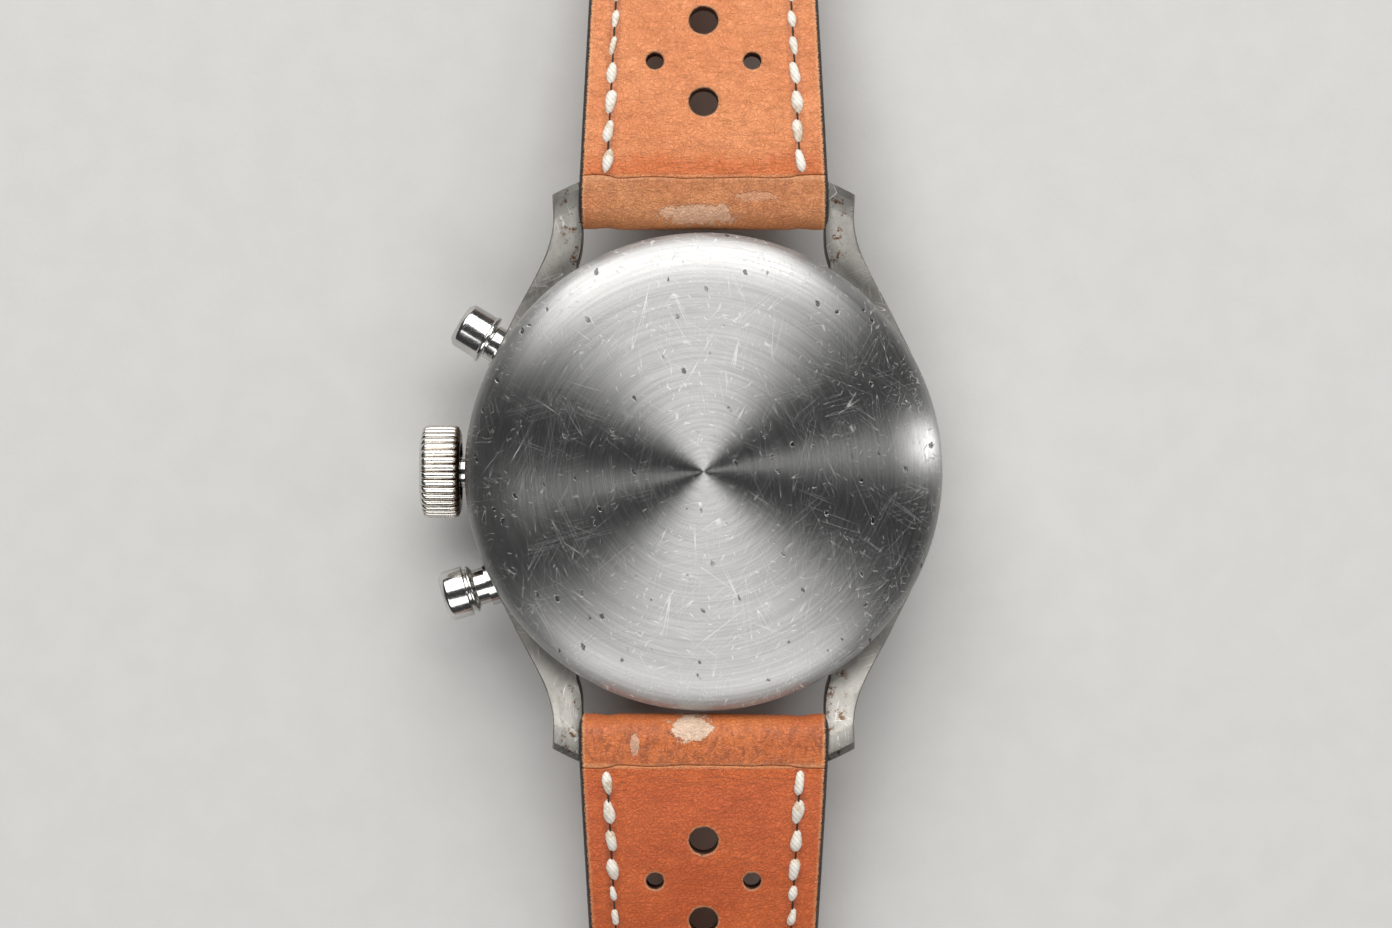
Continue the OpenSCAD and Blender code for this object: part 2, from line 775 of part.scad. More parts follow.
// The runner's arbor goes down through the hollow centre arbor to the chronograph hand
module chronograph_runner() color(brass) {
    difference() {
        union() {
            disc(0.17, 2.7, 11.2);
            disc(0.45, 9.6, 10.55);
            gear(84, 0.08, chrono_z, chrono_top, 0);
        }
        spoke_windows(5, 0.7, 2.8, 0.4, 10.2, 10.6);
    }
    translate([0, -0.1, 10.55]) cube([3.88, 0.2, 0.15]);
    translate([0.25, 0, 10]) disc(0.85, 0, 0.3);
}

module minute_counter_wheel() color(brass) at(counter_at) {
    disc(0.17, 3.7, 11.2);
    disc(0.4, 9.9, 10.7);
    gear(30, 0.165, 10.55, 10.7, 0, true);
}

// Pressed by the reset pusher's pin, and carrying the face that meets the runner's heart cam
module reset_hammer() color(steel) difference() {
    head = [-3.4, 0.7];
    union() {
        link(hammer_at, head, 0.9, 10, 10.25);
        link(hammer_at, [-12.2, -7.5], 0.9, 10, 10.25);
        along(reset_dir, reset_offset) translate([13.95, -0.6, -0.4]) cube([0.6, 1.2, 3.2]);
    }
    at(hammer_at) disc(0.3, 0, 20);
}

// ---- Strap ----

// How much of the fold's height is left at a distance from the axis, from 1 to 0
function fold_share(y) = 1 - smooth((y - bar_y) / (flat_y - bar_y));
function strap_mid(y, end_z) = end_z + (bar_z - end_z) * fold_share(y);
function strap_half(y) = strap_t / 2 + (fold_r - strap_t / 2) * fold_share(y);

// Side outline of a strap half, with the distance from the axis as x and the height as y
module strap_side(end_y, end_z, end_r) {
    steps = 14;
    ys = [for (i = [1:steps]) bar_y + (flat_y - bar_y) * i / steps];
    low = end_z - strap_t / 2;
    high = end_z + strap_t / 2;
    loop = concat([[end_y - 4, low]], arc([end_y, end_z], end_r, -90, 90, 10), [[end_y - 4, high]]);
    blunt = [[end_y - 0.8, low], [end_y, end_z - 0.3], [end_y, end_z + 0.3], [end_y - 0.8, high]];
    polygon(concat(
        [for (y = ys) [y, strap_mid(y, end_z) - strap_half(y)]],
        end_r > 0 ? loop : blunt,
        [for (i = [steps - 1:-1:0]) [ys[i], strap_mid(ys[i], end_z) + strap_half(ys[i])]],
        arc([bar_y, bar_z], fold_r, 90, 270, 12)
    ));
}

// Plan outline of a strap half
module strap_plan(end_y, rounded) {
    w0 = strap_w / 2;
    w1 = strap_end_w / 2;
    tip_len = 9;
    tip = [for (i = [0:8]) let (a = i * 11.25) [w1 * cos(a), end_y - tip_len + tip_len * sin(a)]];
    right = concat([[w0, 15], [w0, bar_y + 1], [w1, taper_y]], rounded ? tip : [[w1, end_y]]);
    polygon(concat(right, [for (i = [len(right) - 1:-1:0]) [-right[i][0], right[i][1]]]));
}

module strap_blank(end_y, end_z, end_r, rounded) {
    plan_end = rounded ? end_y : end_y + end_r;
    intersection() {
        translate([0, 0, -1]) linear_extrude(20) strap_plan(plan_end, rounded);
        rotate([90, 0, 90]) translate([0, 0, -15]) linear_extrude(30)
            strap_side(end_y, end_z, end_r);
    }
}

// Large holes on the centre line with a pair of small ones between each two
module strap_holes() {
    for (i = [0:2]) at([0, hole_y + i * hole_pitch]) disc(hole_r, -5, 25);
    for (i = [0:1]) for (s = [-1, 1]) at([s * small_hole_x, hole_y + (i + 0.5) * hole_pitch])
        disc(small_hole_r, -5, 25);
}

module strap_buckle_half() color(tan_leather) difference() {
    strap_blank(buckle_y, buckle_half_z, end_loop_r, false);
    strap_holes();
    translate([0, bar_y, bar_z]) rod(bar_r + 0.05, -20, 20);
    translate([0, buckle_y, buckle_half_z]) rod(buckle_bar_r + 0.05, -20, 20);
    translate([-1.4, buckle_y - 3.5, 0]) cube([2.8, 10, 10]);
}

module strap_tip_half() color(tan_leather) mirror([0, 1, 0]) difference() {
    strap_blank(tip_y, tip_half_z, 0, true);
    strap_holes();
    translate([0, bar_y, bar_z]) rod(bar_r + 0.05, -20, 20);
    for (i = [0:6]) at([0, tip_y - 25 - i * 7]) disc(0.9, -5, 15);
}

// A leather loop round the buckle half, with room under it for the other half
module keeper(y, side_gap) {
    inner = strap_end_w / 2 + side_gap;
    top = buckle_half_z + strap_t / 2 + side_gap;
    translate([0, y - keeper_w / 2, 0]) difference() {
        translate([-inner - keeper_t, 0, 0]) cube([2 * (inner + keeper_t), keeper_w, top + keeper_t]);
        translate([-inner, -1, keeper_t]) cube([2 * inner, keeper_w + 2, top - keeper_t]);
    }
}

module fixed_keeper() color(tan_leather) keeper(fixed_keeper_y, 0.02);
module sliding_keeper() color(tan_leather) keeper(sliding_keeper_y, keeper_gap);

// ---- Buckle ----

// Puts a piece at the buckle's bar, leaning down towards the buckle's far end
module at_buckle() {
    translate([0, buckle_y, buckle_half_z]) rotate([buckle_tilt, 0, 0]) children();
}

module buckle_frame() color(steel) at_buckle() difference() {
    union() {
        for (s = [-1, 1]) translate([s * (arm_in + arm_out) / 2 - 0.75, 0, 0]) {
            translate([0, 0, -1]) cube([1.5, buckle_len, 2]);
            rod(1.3, 0, 1.5);
        }
        translate([-arm_out, buckle_len - 1.1, -1.1]) cube([2 * arm_out, 2.2, 2.2]);
    }
    rod(0.45, -20, 20);
}

module buckle_bar() color(steel) translate([0, buckle_y, buckle_half_z]) {
    rod(buckle_bar_r, -arm_in + 0.1, arm_in - 0.1);
    rod(0.4, -arm_out + 0.3, arm_out - 0.3);
}

module buckle_tongue() color(steel) at_buckle() difference() {
    union() {
        rod(1.55, -0.9, 0.9);
        translate([-0.9, 0, -2.1]) cube([1.8, buckle_len + 1, 0.9]);
        translate([-0.9, 0, -1.6]) cube([1.8, 1.2, 1.2]);
    }
    rod(buckle_bar_r + 0.05, -20, 20);
}

case_middle();
bezel();
crystal();
case_back();
back_gasket();
movement_ring();
case_tubes();
dial();
dial_markers();
spring_bars();
crown();
winding_stem();
winding_pinion();
crown_wheel();
intermediate_wheel();
ratchet_wheel();
click();
start_pusher();
start_pusher_spring();
reset_pusher();
reset_pusher_spring();
main_plate();
barrel_bridge();
train_bridge();
pallet_bridge();
balance_cock();
chronograph_bridge();
jewels();
movement_screws();
barrel_drum();
mainspring();
centre_wheel();
third_wheel();
fourth_wheel();
escape_wheel();
pallet_fork();
balance_wheel();
hairspring();
cannon_pinion();
minute_wheel();
hour_wheel();
hour_hand();
minute_hand();
small_seconds_hand();
chronograph_hand();
minute_counter_hand();
column_wheel();
operating_lever();
coupling_lever();
coupling_wheel();
chronograph_runner();
minute_counter_wheel();
reset_hammer();
strap_buckle_half();
strap_tip_half();
fixed_keeper();
sliding_keeper();
buckle_frame();
buckle_bar();
buckle_tongue();
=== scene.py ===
import math
import random

import bmesh
import bpy
from mathutils import Matrix, Vector, noise


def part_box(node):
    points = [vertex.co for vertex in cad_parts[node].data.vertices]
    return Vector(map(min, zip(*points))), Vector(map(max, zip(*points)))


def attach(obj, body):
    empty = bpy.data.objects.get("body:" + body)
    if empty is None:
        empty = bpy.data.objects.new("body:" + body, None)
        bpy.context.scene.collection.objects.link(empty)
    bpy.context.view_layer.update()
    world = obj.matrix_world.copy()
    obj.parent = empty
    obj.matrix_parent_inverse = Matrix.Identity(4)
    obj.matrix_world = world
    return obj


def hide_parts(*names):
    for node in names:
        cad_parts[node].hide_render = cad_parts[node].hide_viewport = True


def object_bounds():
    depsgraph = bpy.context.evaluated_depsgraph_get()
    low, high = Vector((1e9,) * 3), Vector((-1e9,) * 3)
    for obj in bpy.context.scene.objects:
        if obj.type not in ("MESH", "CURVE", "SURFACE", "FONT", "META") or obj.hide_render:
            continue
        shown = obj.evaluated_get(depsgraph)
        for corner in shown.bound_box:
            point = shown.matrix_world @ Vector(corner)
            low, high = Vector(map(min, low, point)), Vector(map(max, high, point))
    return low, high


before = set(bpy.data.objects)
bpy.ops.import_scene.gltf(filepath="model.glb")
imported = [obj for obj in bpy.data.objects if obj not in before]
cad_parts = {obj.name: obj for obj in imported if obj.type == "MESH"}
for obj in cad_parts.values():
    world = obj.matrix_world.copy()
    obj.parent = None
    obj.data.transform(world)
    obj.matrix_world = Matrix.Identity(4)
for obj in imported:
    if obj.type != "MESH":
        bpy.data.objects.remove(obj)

# A chronograph wristwatch lying face down with its strap open. Shapes are worked out in millimetres,
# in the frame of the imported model, and become metres when a piece is made.

MM = 0.001
CAD_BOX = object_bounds()
SCENE = bpy.context.scene
RANDOM = random.Random(7)


def low(node):
    """A CAD node's lowest corner, in millimetres."""
    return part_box(node)[0] / MM


def high(node):
    """A CAD node's highest corner, in millimetres."""
    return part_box(node)[1] / MM


# ---- Sizes, from the frame ----

CASE_R = high("case_back").x
CASE_H = high("case_back").z
SEAT_Z = low("case_back").z - 0.02
LUG_Y = high("case_middle").y
LUG_X = 10.0
AXIS_Z = (low("crown").z + high("crown").z) / 2
CROWN_R = (high("crown").z - low("crown").z) / 2
CROWN_IN = -high("crown").x
CROWN_OUT = -low("crown").x
BAR_Z = (low("spring_bars").z + high("spring_bars").z) / 2
STRAP_BAR_Y = high("spring_bars").y - 0.9
STRAP_W = high("strap_buckle_half").x
TIP_Y = -low("strap_tip_half").y
BUCKLE_Y = (low("buckle_bar").y + high("buckle_bar").y) / 2
BUCKLE_Z = (low("buckle_bar").z + high("buckle_bar").z) / 2


# ---- Shapes ----

def smooth(t):
    """An even S-curve from 0 to 1."""
    t = min(max(t, 0.0), 1.0)
    return t * t * (3 - 2 * t)


def spaced(start, end, steps):
    """Numbers from start to end in equal steps."""
    return [start + (end - start) * k / steps for k in range(steps + 1)]


def rounded(path, steps=5, closed=False):
    """A path of (x, y, cut) corners, each one cut back by that distance and joined by a curve."""
    out = []
    for i, (x, y, cut) in enumerate(path):
        here = Vector((x, y))
        if cut == 0 or (not closed and i in (0, len(path) - 1)):
            out.append(here)
            continue
        before = Vector(path[i - 1][:2]) - here
        after = Vector(path[(i + 1) % len(path)][:2]) - here
        start = here + before.normalized() * cut
        end = here + after.normalized() * cut
        for k in range(steps + 1):
            t = k / steps
            out.append(start * (1 - t) ** 2 + here * 2 * t * (1 - t) + end * t * t)
    return out


def block(half_w, half_h, cut, steps):
    """A rectangle with rounded corners."""
    corners = [(-half_w, -half_h), (half_w, -half_h), (half_w, half_h), (-half_w, half_h)]
    return rounded([(x, y, cut) for x, y in corners], steps, closed=True)


def lathe(profile, segments=192, closed=False):
    """Points and faces of a profile of (radius, height) turned about Z."""
    verts, faces = [], []
    count = len(profile)
    for i in range(segments):
        a = 2 * math.pi * i / segments
        verts += [Vector((p[0] * math.cos(a), p[0] * math.sin(a), p[1])) for p in profile]
    for i in range(segments):
        here, there = i * count, (i + 1) % segments * count
        for k in range(count if closed else count - 1):
            n = (k + 1) % count
            faces.append((here + k, there + k, there + n, here + n))
    return verts, faces


def loft(rings, cap=True, closed=False):
    """Points and faces of a skin over rings of equally many points."""
    verts = [Vector(p) for ring in rings for p in ring]
    faces = []
    size = len(rings[0])
    for i in range(len(rings) if closed else len(rings) - 1):
        here, there = i * size, (i + 1) % len(rings) * size
        for k in range(size):
            n = (k + 1) % size
            faces.append((here + k, here + n, there + n, there + k))
    if cap and not closed:
        faces.append(tuple(range(size - 1, -1, -1)))
        last = (len(rings) - 1) * size
        faces.append(tuple(range(last, last + size)))
    return verts, faces


def outward(before, after):
    """The direction square to the way from one point of a path to another."""
    way = (after - before).normalized()
    return Vector((way.y, -way.x))


def joined(*shapes):
    """Several shapes as one list of points and one of faces."""
    verts, faces = [], []
    for v, f in shapes:
        shift = len(verts)
        verts += v
        faces += [tuple(i + shift for i in face) for face in f]
    return verts, faces


def moved(shape, matrix):
    return [matrix @ v for v in shape[0]], shape[1]


def piece(name, shape, material, body, stands_for=(), angle=35, marks=None):
    """A new mesh from a shape in millimetres, riding on a body and standing for CAD nodes."""
    verts, faces = shape
    mesh = bpy.data.meshes.new(name)
    mesh.from_pydata([v * MM for v in verts], [], faces)
    materials = material if isinstance(material, (list, tuple)) else [material]
    for m in materials:
        mesh.materials.append(m)
    if marks:
        for polygon, index in zip(mesh.polygons, marks):
            polygon.material_index = index
    work = bmesh.new()
    work.from_mesh(mesh)
    bmesh.ops.remove_doubles(work, verts=work.verts, dist=1e-7)
    bmesh.ops.recalc_face_normals(work, faces=work.faces)
    work.to_mesh(mesh)
    work.free()
    mesh.shade_smooth()
    mesh.set_sharp_from_angle(angle=math.radians(angle))
    obj = bpy.data.objects.new(name, mesh)
    SCENE.collection.objects.link(obj)
    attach(obj, body)
    if stands_for:
        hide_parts(*stands_for)
    return obj


# ---- Materials ----

def dress(nodes, material):
    """Gives a new material to CAD nodes that keep their own shape."""
    for name in nodes:
        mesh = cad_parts[name].data
        mesh.materials.clear()
        mesh.materials.append(material)


def srgb(r, g, b):
    """A colour given as 0 to 255 values, made linear."""
    def linear(c):
        c /= 255
        return c / 12.92 if c <= 0.04045 else ((c + 0.055) / 1.055) ** 2.4
    return (linear(r), linear(g), linear(b), 1.0)


def tint(colour, share):
    """A darker or lighter shade of a colour."""
    return tuple(min(c * share, 1.0) for c in colour[:3]) + (1.0,)


class Graph:
    """A material's nodes. Its places are in millimetres, in the object's own frame."""

    def __init__(self, name, constants=None):
        self.material = bpy.data.materials.new(name)
        self.material.use_nodes = True
        self.nodes = self.material.node_tree.nodes
        self.links = self.material.node_tree.links
        self.shader = self.nodes["Principled BSDF"]
        for socket, value in (constants or {}).items():
            self.shader.inputs[socket].default_value = value
        texture = self.nodes.new("ShaderNodeTexCoord")
        scale = self.nodes.new("ShaderNodeVectorMath")
        scale.operation = "SCALE"
        scale.inputs["Scale"].default_value = 1 / MM
        self.links.new(texture.outputs["Object"], scale.inputs[0])
        self.place = scale.outputs[0]
        split = self.add("SeparateXYZ", {0: self.place})
        self.x, self.y, self.z = split.outputs

    def add(self, kind, inputs=None, **settings):
        node = self.nodes.new("ShaderNode" + kind)
        for name, value in settings.items():
            setattr(node, name, value)
        for key, value in (inputs or {}).items():
            self.feed(node.inputs[key], value)
        return node

    def feed(self, socket, value):
        if isinstance(value, bpy.types.NodeSocket):
            self.links.new(value, socket)
        else:
            socket.default_value = value

    def set(self, socket, value):
        self.feed(self.shader.inputs[socket], value)

    def finish(self, colour, rough, normal):
        """Sets what changes over the surface, and returns the material."""
        self.set("Base Color", colour)
        self.set("Roughness", rough)
        self.set("Normal", normal)
        return self.material

    def math(self, kind, a, b=0.0):
        return self.add("Math", {0: a, 1: b}, operation=kind).outputs[0]

    def mul(self, a, b):
        return self.math("MULTIPLY", a, b)

    def plus(self, a, b):
        return self.math("ADD", a, b)

    def less(self, a, b):
        return self.math("SUBTRACT", a, b)

    def most(self, a, b):
        return self.math("MAXIMUM", a, b)

    def abs(self, a):
        return self.math("ABSOLUTE", a)

    def hypot(self, a, b):
        return self.math("SQRT", self.plus(self.mul(a, a), self.mul(b, b)))

    def combine(self, x=0.0, y=0.0, z=0.0):
        return self.add("CombineXYZ", {0: x, 1: y, 2: z}).outputs[0]

    def stretched(self, x, y, z):
        return self.add("VectorMath", {0: self.place, 1: (x, y, z)}, operation="MULTIPLY").outputs[0]

    def turned(self, degrees, x, y, z=1.0, tilt=0.0):
        """Places turned about Z, tilted about X, then stretched."""
        turn = self.add("VectorRotate", {"Vector": self.place, "Angle": math.radians(degrees)})
        if tilt:
            inputs = {"Vector": turn.outputs[0], "Angle": math.radians(tilt)}
            turn = self.add("VectorRotate", inputs, rotation_type="X_AXIS")
        return self.add("VectorMath", {0: turn.outputs[0], 1: (x, y, z)}, operation="MULTIPLY").outputs[0]

    def noise(self, scale, detail=2.0, rough=0.5, at=None, bend=0.0):
        inputs = {"Vector": at or self.place, "Scale": scale, "Detail": detail, "Roughness": rough}
        inputs["Distortion"] = bend
        return self.add("TexNoise", inputs).outputs[0]

    def cells(self, scale, at=None, feature="F1", flat=False):
        """The distance to a cell's centre or edge, in three dimensions or in plan."""
        inputs = {"Vector": at or self.place, "Scale": scale}
        kind = "2D" if flat else "3D"
        return self.add("TexVoronoi", inputs, feature=feature, voronoi_dimensions=kind).outputs["Distance"]

    def fit(self, value, start, end, low=0.0, high=1.0, even=True):
        """value between start and end, as low to high, with soft ends when even."""
        inputs = {0: value, 1: start, 2: end, 3: low, 4: high}
        kind = "SMOOTHSTEP" if even else "LINEAR"
        return self.add("MapRange", inputs, interpolation_type=kind).outputs[0]

    def mix(self, share, a, b, kind="MIX"):
        node = self.add("Mix", data_type="RGBA", blend_type=kind)
        self.feed(node.inputs[0], share)
        self.feed(node.inputs[6], a)
        self.feed(node.inputs[7], b)
        return node.outputs[2]

    def polar(self):
        """The distance from the axis through the origin, and the angle as a unit cosine and sine."""
        r = self.hypot(self.x, self.y)
        safe = self.most(r, 0.01)
        return r, self.math("DIVIDE", self.x, safe), self.math("DIVIDE", self.y, safe)

    def bump(self, height, depth, after=None):
        """depth is how far the height's full range rises, in millimetres."""
        inputs = {"Height": height, "Distance": depth * MM, "Strength": 1.0}
        node = self.add("Bump", inputs)
        if after:
            self.feed(node.inputs["Normal"], after)
        return node.outputs[0]

    def near(self, value, at, width):
        """1 where value is at a number, fading to 0 at a width from it."""
        return self.fit(self.abs(self.less(value, at)), 0.0, width, 1.0, 0.0)

    def scratches(self, amount, length=0.12, spread=2.4, width=0.018,
                  angles=(12, 48, 83, 127, 160), tilts=None):
        """A mask of thin straight scratches. Tilts keep them straight on side faces too."""
        total = 0.0
        for i, angle in enumerate(angles):
            tilt = (length, tilts[i]) if tilts else ()
            line = self.noise(1.0, 0.0, at=self.turned(angle, length, spread, *tilt))
            line = self.near(line, 0.42 + 0.04 * i, width)
            patch = self.noise(1.0, 1.0, at=self.turned(angle + 4, length * 2.6, spread * 0.22))
            line = self.mul(line, self.fit(patch, 1 - amount, 1.12 - amount))
            total = self.most(total, line)
        return total

    def nicks(self, angles, length, width, size, amount, patch_scale=0.35):
        """Short dashes in several directions, in scattered patches."""
        total = 0.0
        for angle in angles:
            dash = self.cells(1.0, at=self.turned(angle, 1 / length, 1 / width), flat=True)
            ragged = self.fit(self.noise(2.2, 3.0), 0.3, 0.7, -size * 0.4, size * 0.6)
            dash = self.fit(self.plus(dash, ragged), size * 0.5, size, 1.0, 0.0)
            patch = self.noise(patch_scale, 2.0, 0.6, at=self.turned(angle * 0.5, 1.0, 1.0))
            dash = self.mul(dash, self.fit(patch, 1 - amount, 1.08 - amount))
            total = self.most(total, dash)
        return total


def metal(name, colour, rough=0.25, grain=(1, 1, 1), grain_scale=6.0, depth=0.002, wear=0.15, spots=None):
    """Plain metal with a grain that can be stretched, faint scratches and uneven polish."""
    g = Graph(name, {"Metallic": 1.0})
    lines = g.noise(grain_scale, 3.0, 0.6, at=g.stretched(*grain))
    marks = g.scratches(0.42, tilts=(-44, 38, -24, 52, 16))
    shade = g.mix(g.fit(g.noise(0.5, 3.0), 0.3, 0.7), tint(colour, 0.82), colour)
    shade = g.mix(g.mul(marks, 0.5), shade, (0.9, 0.89, 0.87, 1.0))
    if spots:
        speckle = g.fit(g.noise(5.0, 3.0, 0.7), 0.5, 0.72, 0.0, 0.3)
        shade = g.mix(speckle, shade, srgb(96, 92, 86))
        shade = g.mix(spots(g), shade, srgb(88, 62, 40))
    uneven = g.fit(lines, 0.3, 0.7, rough - wear * 0.4, rough + wear * 0.4)
    height = g.less(lines, g.mul(marks, 0.6))
    return g.finish(shade, g.plus(uneven, g.mul(marks, 0.15)), g.bump(height, depth))


STEEL = srgb(214, 212, 209)
BRASS = srgb(222, 184, 112)


def lug_rust(g):
    """Brown spots where the lugs' inner edges meet the case."""
    edge = g.fit(g.abs(g.less(g.abs(g.x), LUG_X + 0.4)), 0.3, 1.3, 1.0, 0.0)
    return g.mul(edge, g.fit(g.noise(1.15, 5.0, 0.75), 0.54, 0.62))


def case_back_steel():
    """Circular brushing, fine straight scratches, bright nicks and small dark dents."""
    g = Graph("case_back_steel", {"Metallic": 1.0, "Anisotropic": 0.95, "Anisotropic Rotation": 0.25})
    g.set("Tangent", g.add("Tangent", direction_type="RADIAL", axis="Z").outputs[0])
    r, cosine, sine = g.polar()
    arcs = g.combine(g.mul(r, 13.0), g.mul(cosine, 7.0), g.mul(sine, 7.0))
    fine = g.noise(1.0, 3.0, 0.65, at=arcs)
    rings = g.noise(1.0, 3.0, 0.65, at=g.combine(g.mul(r, 5.0), cosine, sine))
    long_marks = g.scratches(0.46, 0.05, 1.4, 0.009, (20, 64, 101, 139))
    marks = g.most(long_marks, g.scratches(0.50, 0.09, 2.2, 0.008, (35, 84, 118, 165)))
    marks = g.most(marks, g.mul(g.nicks((8, 38, 74, 118, 155), 3.4, 0.7, 0.07, 0.5), 0.7))
    dents = g.nicks((62, 84), 4.6, 2.2, 0.075, 0.48, 0.6)
    shade = g.mix(g.fit(rings, 0.35, 0.65), srgb(166, 165, 163), srgb(180, 179, 177))
    shade = g.mix(g.fit(fine, 0.55, 0.75, 0.0, 0.4), shade, srgb(206, 205, 203))
    shade = g.mix(g.mul(marks, 0.8), shade, srgb(240, 240, 238))
    shade = g.mix(g.mul(dents, 0.75), shade, srgb(70, 66, 62))
    rough = g.plus(g.fit(fine, 0.3, 0.7, 0.30, 0.38), g.mul(marks, 0.45))
    height = g.plus(g.mul(fine, 0.7), g.mul(rings, 0.25))
    height = g.less(height, g.mul(marks, 0.8))
    return g.finish(shade, rough, g.bump(g.less(1.0, dents), 0.02, g.bump(height, 0.0016)))


def leather(name, pale, deep, edge_x, seam_y=None, marks=()):
    """Vegetable-tanned leather: pebbled grain, creases, stains, a saturated band beside the seam, and painted
    highlights on the seam's lip and on the rounded edges.
    """
    g = Graph(name, {"Coat Weight": 0.12, "Coat Roughness": 0.35, "Sheen Weight": 0.05})
    mottle = g.noise(1.1, 5.0, 0.65, bend=0.4)
    bent = g.add("VectorMath", {0: g.place, 1: g.noise(1.2, 2.0)}).outputs[0]
    pebble = g.cells(2.5, at=bent, feature="DISTANCE_TO_EDGE")
    pores = g.noise(9.0, 3.0, 0.6)
    crease = g.near(g.noise(1.0, 3.0, 0.6, at=g.stretched(0.7, 1.7, 1.0), bend=1.2), 0.5, 0.03)
    shade = g.mix(g.fit(g.noise(0.16, 4.0, 0.6), 0.3, 0.7), deep, pale)
    shade = g.mix(g.mul(g.fit(mottle, 0.35, 0.75), 0.45), shade, tint(deep, 0.62))
    shade = g.mix(g.fit(pebble, 0.0, 0.12, 0.3, 0.0), shade, tint(deep, 0.55))
    shade = g.mix(g.fit(pores, 0.52, 0.7, 0.0, 0.35), shade, tint(pale, 1.5))
    shade = g.mix(g.mul(crease, 0.3), shade, tint(pale, 1.35))
    rise = g.plus(g.mul(g.fit(pebble, 0.0, 0.25), 0.5), g.mul(pores, 0.35))
    rise = g.less(rise, g.mul(crease, 0.35))
    away = g.abs(g.y)
    if seam_y:
        reach = g.plus(away, g.fit(g.noise(0.9, 3.0), 0.3, 0.7, -0.4, 0.4))
        band = g.fit(reach, seam_y + 0.7, seam_y + 2.4, 1.0, 0.0)
        shade = g.mix(g.mul(band, 0.65), shade, srgb(204, 98, 34))
        furrow = g.near(g.noise(1.0, 3.0, 0.6, at=g.stretched(0.28, 2.6, 1.0), bend=0.7), 0.5, 0.02)
        furrow = g.mul(furrow, g.fit(away, seam_y + 1.0, seam_y + 4.5, 0.6, 0.0))
        shade = g.mix(furrow, shade, srgb(120, 48, 18))
        # painted highlight: a pale line on the lining's raised lip just past the seam
        lip_highlight = g.fit(away, seam_y + 0.12, seam_y + 0.32, 1.0, 0.0)
        shade = g.mix(g.mul(lip_highlight, 0.6), shade, srgb(214, 150, 100))
    for mark in marks:
        shade, rise = mark(g, shade, rise)
    edge = g.less(edge_x(g), g.abs(g.x))
    # painted highlight: a pale band on the rounded shoulder of each edge, just inside the edge paint, broken
    # up by the mottle
    edge_highlight = g.mul(g.fit(edge, 0.28, 0.6, 0.6, 0.0), g.fit(mottle, 0.3, 0.6, 0.3, 1.0))
    shade = g.mix(edge_highlight, shade, srgb(226, 170, 120))
    paint = g.fit(g.plus(edge, g.fit(pores, 0.3, 0.7, -0.08, 0.08)), 0.22, 0.32, 1.0, 0.0)
    shade = g.mix(paint, shade, srgb(38, 26, 20))
    return g.finish(shade, g.fit(mottle, 0.3, 0.7, 0.44, 0.62), g.bump(rise, 0.08))


def plain(name, colour, rough, depth=0.01, scale=4.0, spread=0.2):
    """A soft or painted surface with a fine grain and a slight change of shade."""
    g = Graph(name)
    grain = g.noise(scale, 4.0, 0.6)
    cloud = g.fit(g.noise(scale * 0.15, 3.0), 0.3, 0.7)
    shade = g.mix(cloud, tint(colour, 1 - spread), colour)
    return g.finish(shade, g.fit(grain, 0.3, 0.7, rough - 0.06, rough + 0.06), g.bump(grain, depth))


# ---- Camera, light and floor ----

FLOOR_Z = CAD_BOX[0].z
FLOOR_HALF = 6.0
LENS, SENSOR = 100.0, 36.0
VIEW_W = 109.2
VIEW_X, VIEW_Y, VIEW_Z = -0.6, 0.6, 12.0


def add_camera():
    data = bpy.data.cameras.new("camera")
    data.lens = LENS
    data.sensor_width = SENSOR
    data.clip_start = 0.01
    camera = bpy.data.objects.new("camera", data)
    camera.location = Vector((VIEW_X, VIEW_Y, VIEW_Z + VIEW_W * LENS / SENSOR)) * MM
    SCENE.collection.objects.link(camera)
    SCENE.camera = camera


def add_light(name, azimuth, elevation, distance, width, height, power):
    """A soft box that faces the watch. Azimuth is measured about +Z from +X."""
    data = bpy.data.lights.new(name, "AREA")
    data.shape = "RECTANGLE"
    data.size = width
    data.size_y = height
    data.energy = power
    light = bpy.data.objects.new(name, data)
    a, e = math.radians(azimuth), math.radians(elevation)
    away = Vector((math.cos(a) * math.cos(e), math.sin(a) * math.cos(e), math.sin(e)))
    light.location = away * distance
    light.rotation_euler = away.to_track_quat("Z", "Y").to_euler()
    light.visible_camera = False
    SCENE.collection.objects.link(light)


def add_stage():
    """Two broad soft boxes above and below the watch in the picture, a thin one beside it, and dim air."""
    SCENE.view_settings.view_transform = "Standard"
    add_light("top_box", 97.5, 46, 0.8, 0.86, 0.75, 8.2)
    add_light("bottom_box", 269, 54, 0.9, 0.9, 0.5, 4.0)
    add_light("side_box", 7, 33, 0.8, 0.1, 0.7, 1.3)
    world = bpy.data.worlds.new("studio")
    world.use_nodes = True
    air = world.node_tree.nodes["Background"].inputs
    air[0].default_value = (0.9, 0.95, 1.0, 1.0)
    air[1].default_value = 0.05
    SCENE.world = world
    mesh = bpy.data.meshes.new("floor")
    corners = [(-1, -1), (1, -1), (1, 1), (-1, 1)]
    mesh.from_pydata([(x * FLOOR_HALF, y * FLOOR_HALF, FLOOR_Z) for x, y in corners], [], [(0, 1, 2, 3)])
    mesh.materials.append(plain("floor_paper", srgb(200, 199, 196), 0.8, 0.02, 2.0, spread=0.03))
    floor = bpy.data.objects.new("floor", mesh)
    SCENE.collection.objects.link(floor)


# ---- Case ----

POLISHED = metal("polished_steel", STEEL, 0.16, depth=0.0008, wear=0.1)
SATIN = metal("satin_steel", srgb(146, 143, 137), 0.4, (1, 0.25, 1), 5.0, 0.0012, 0.1, lug_rust)


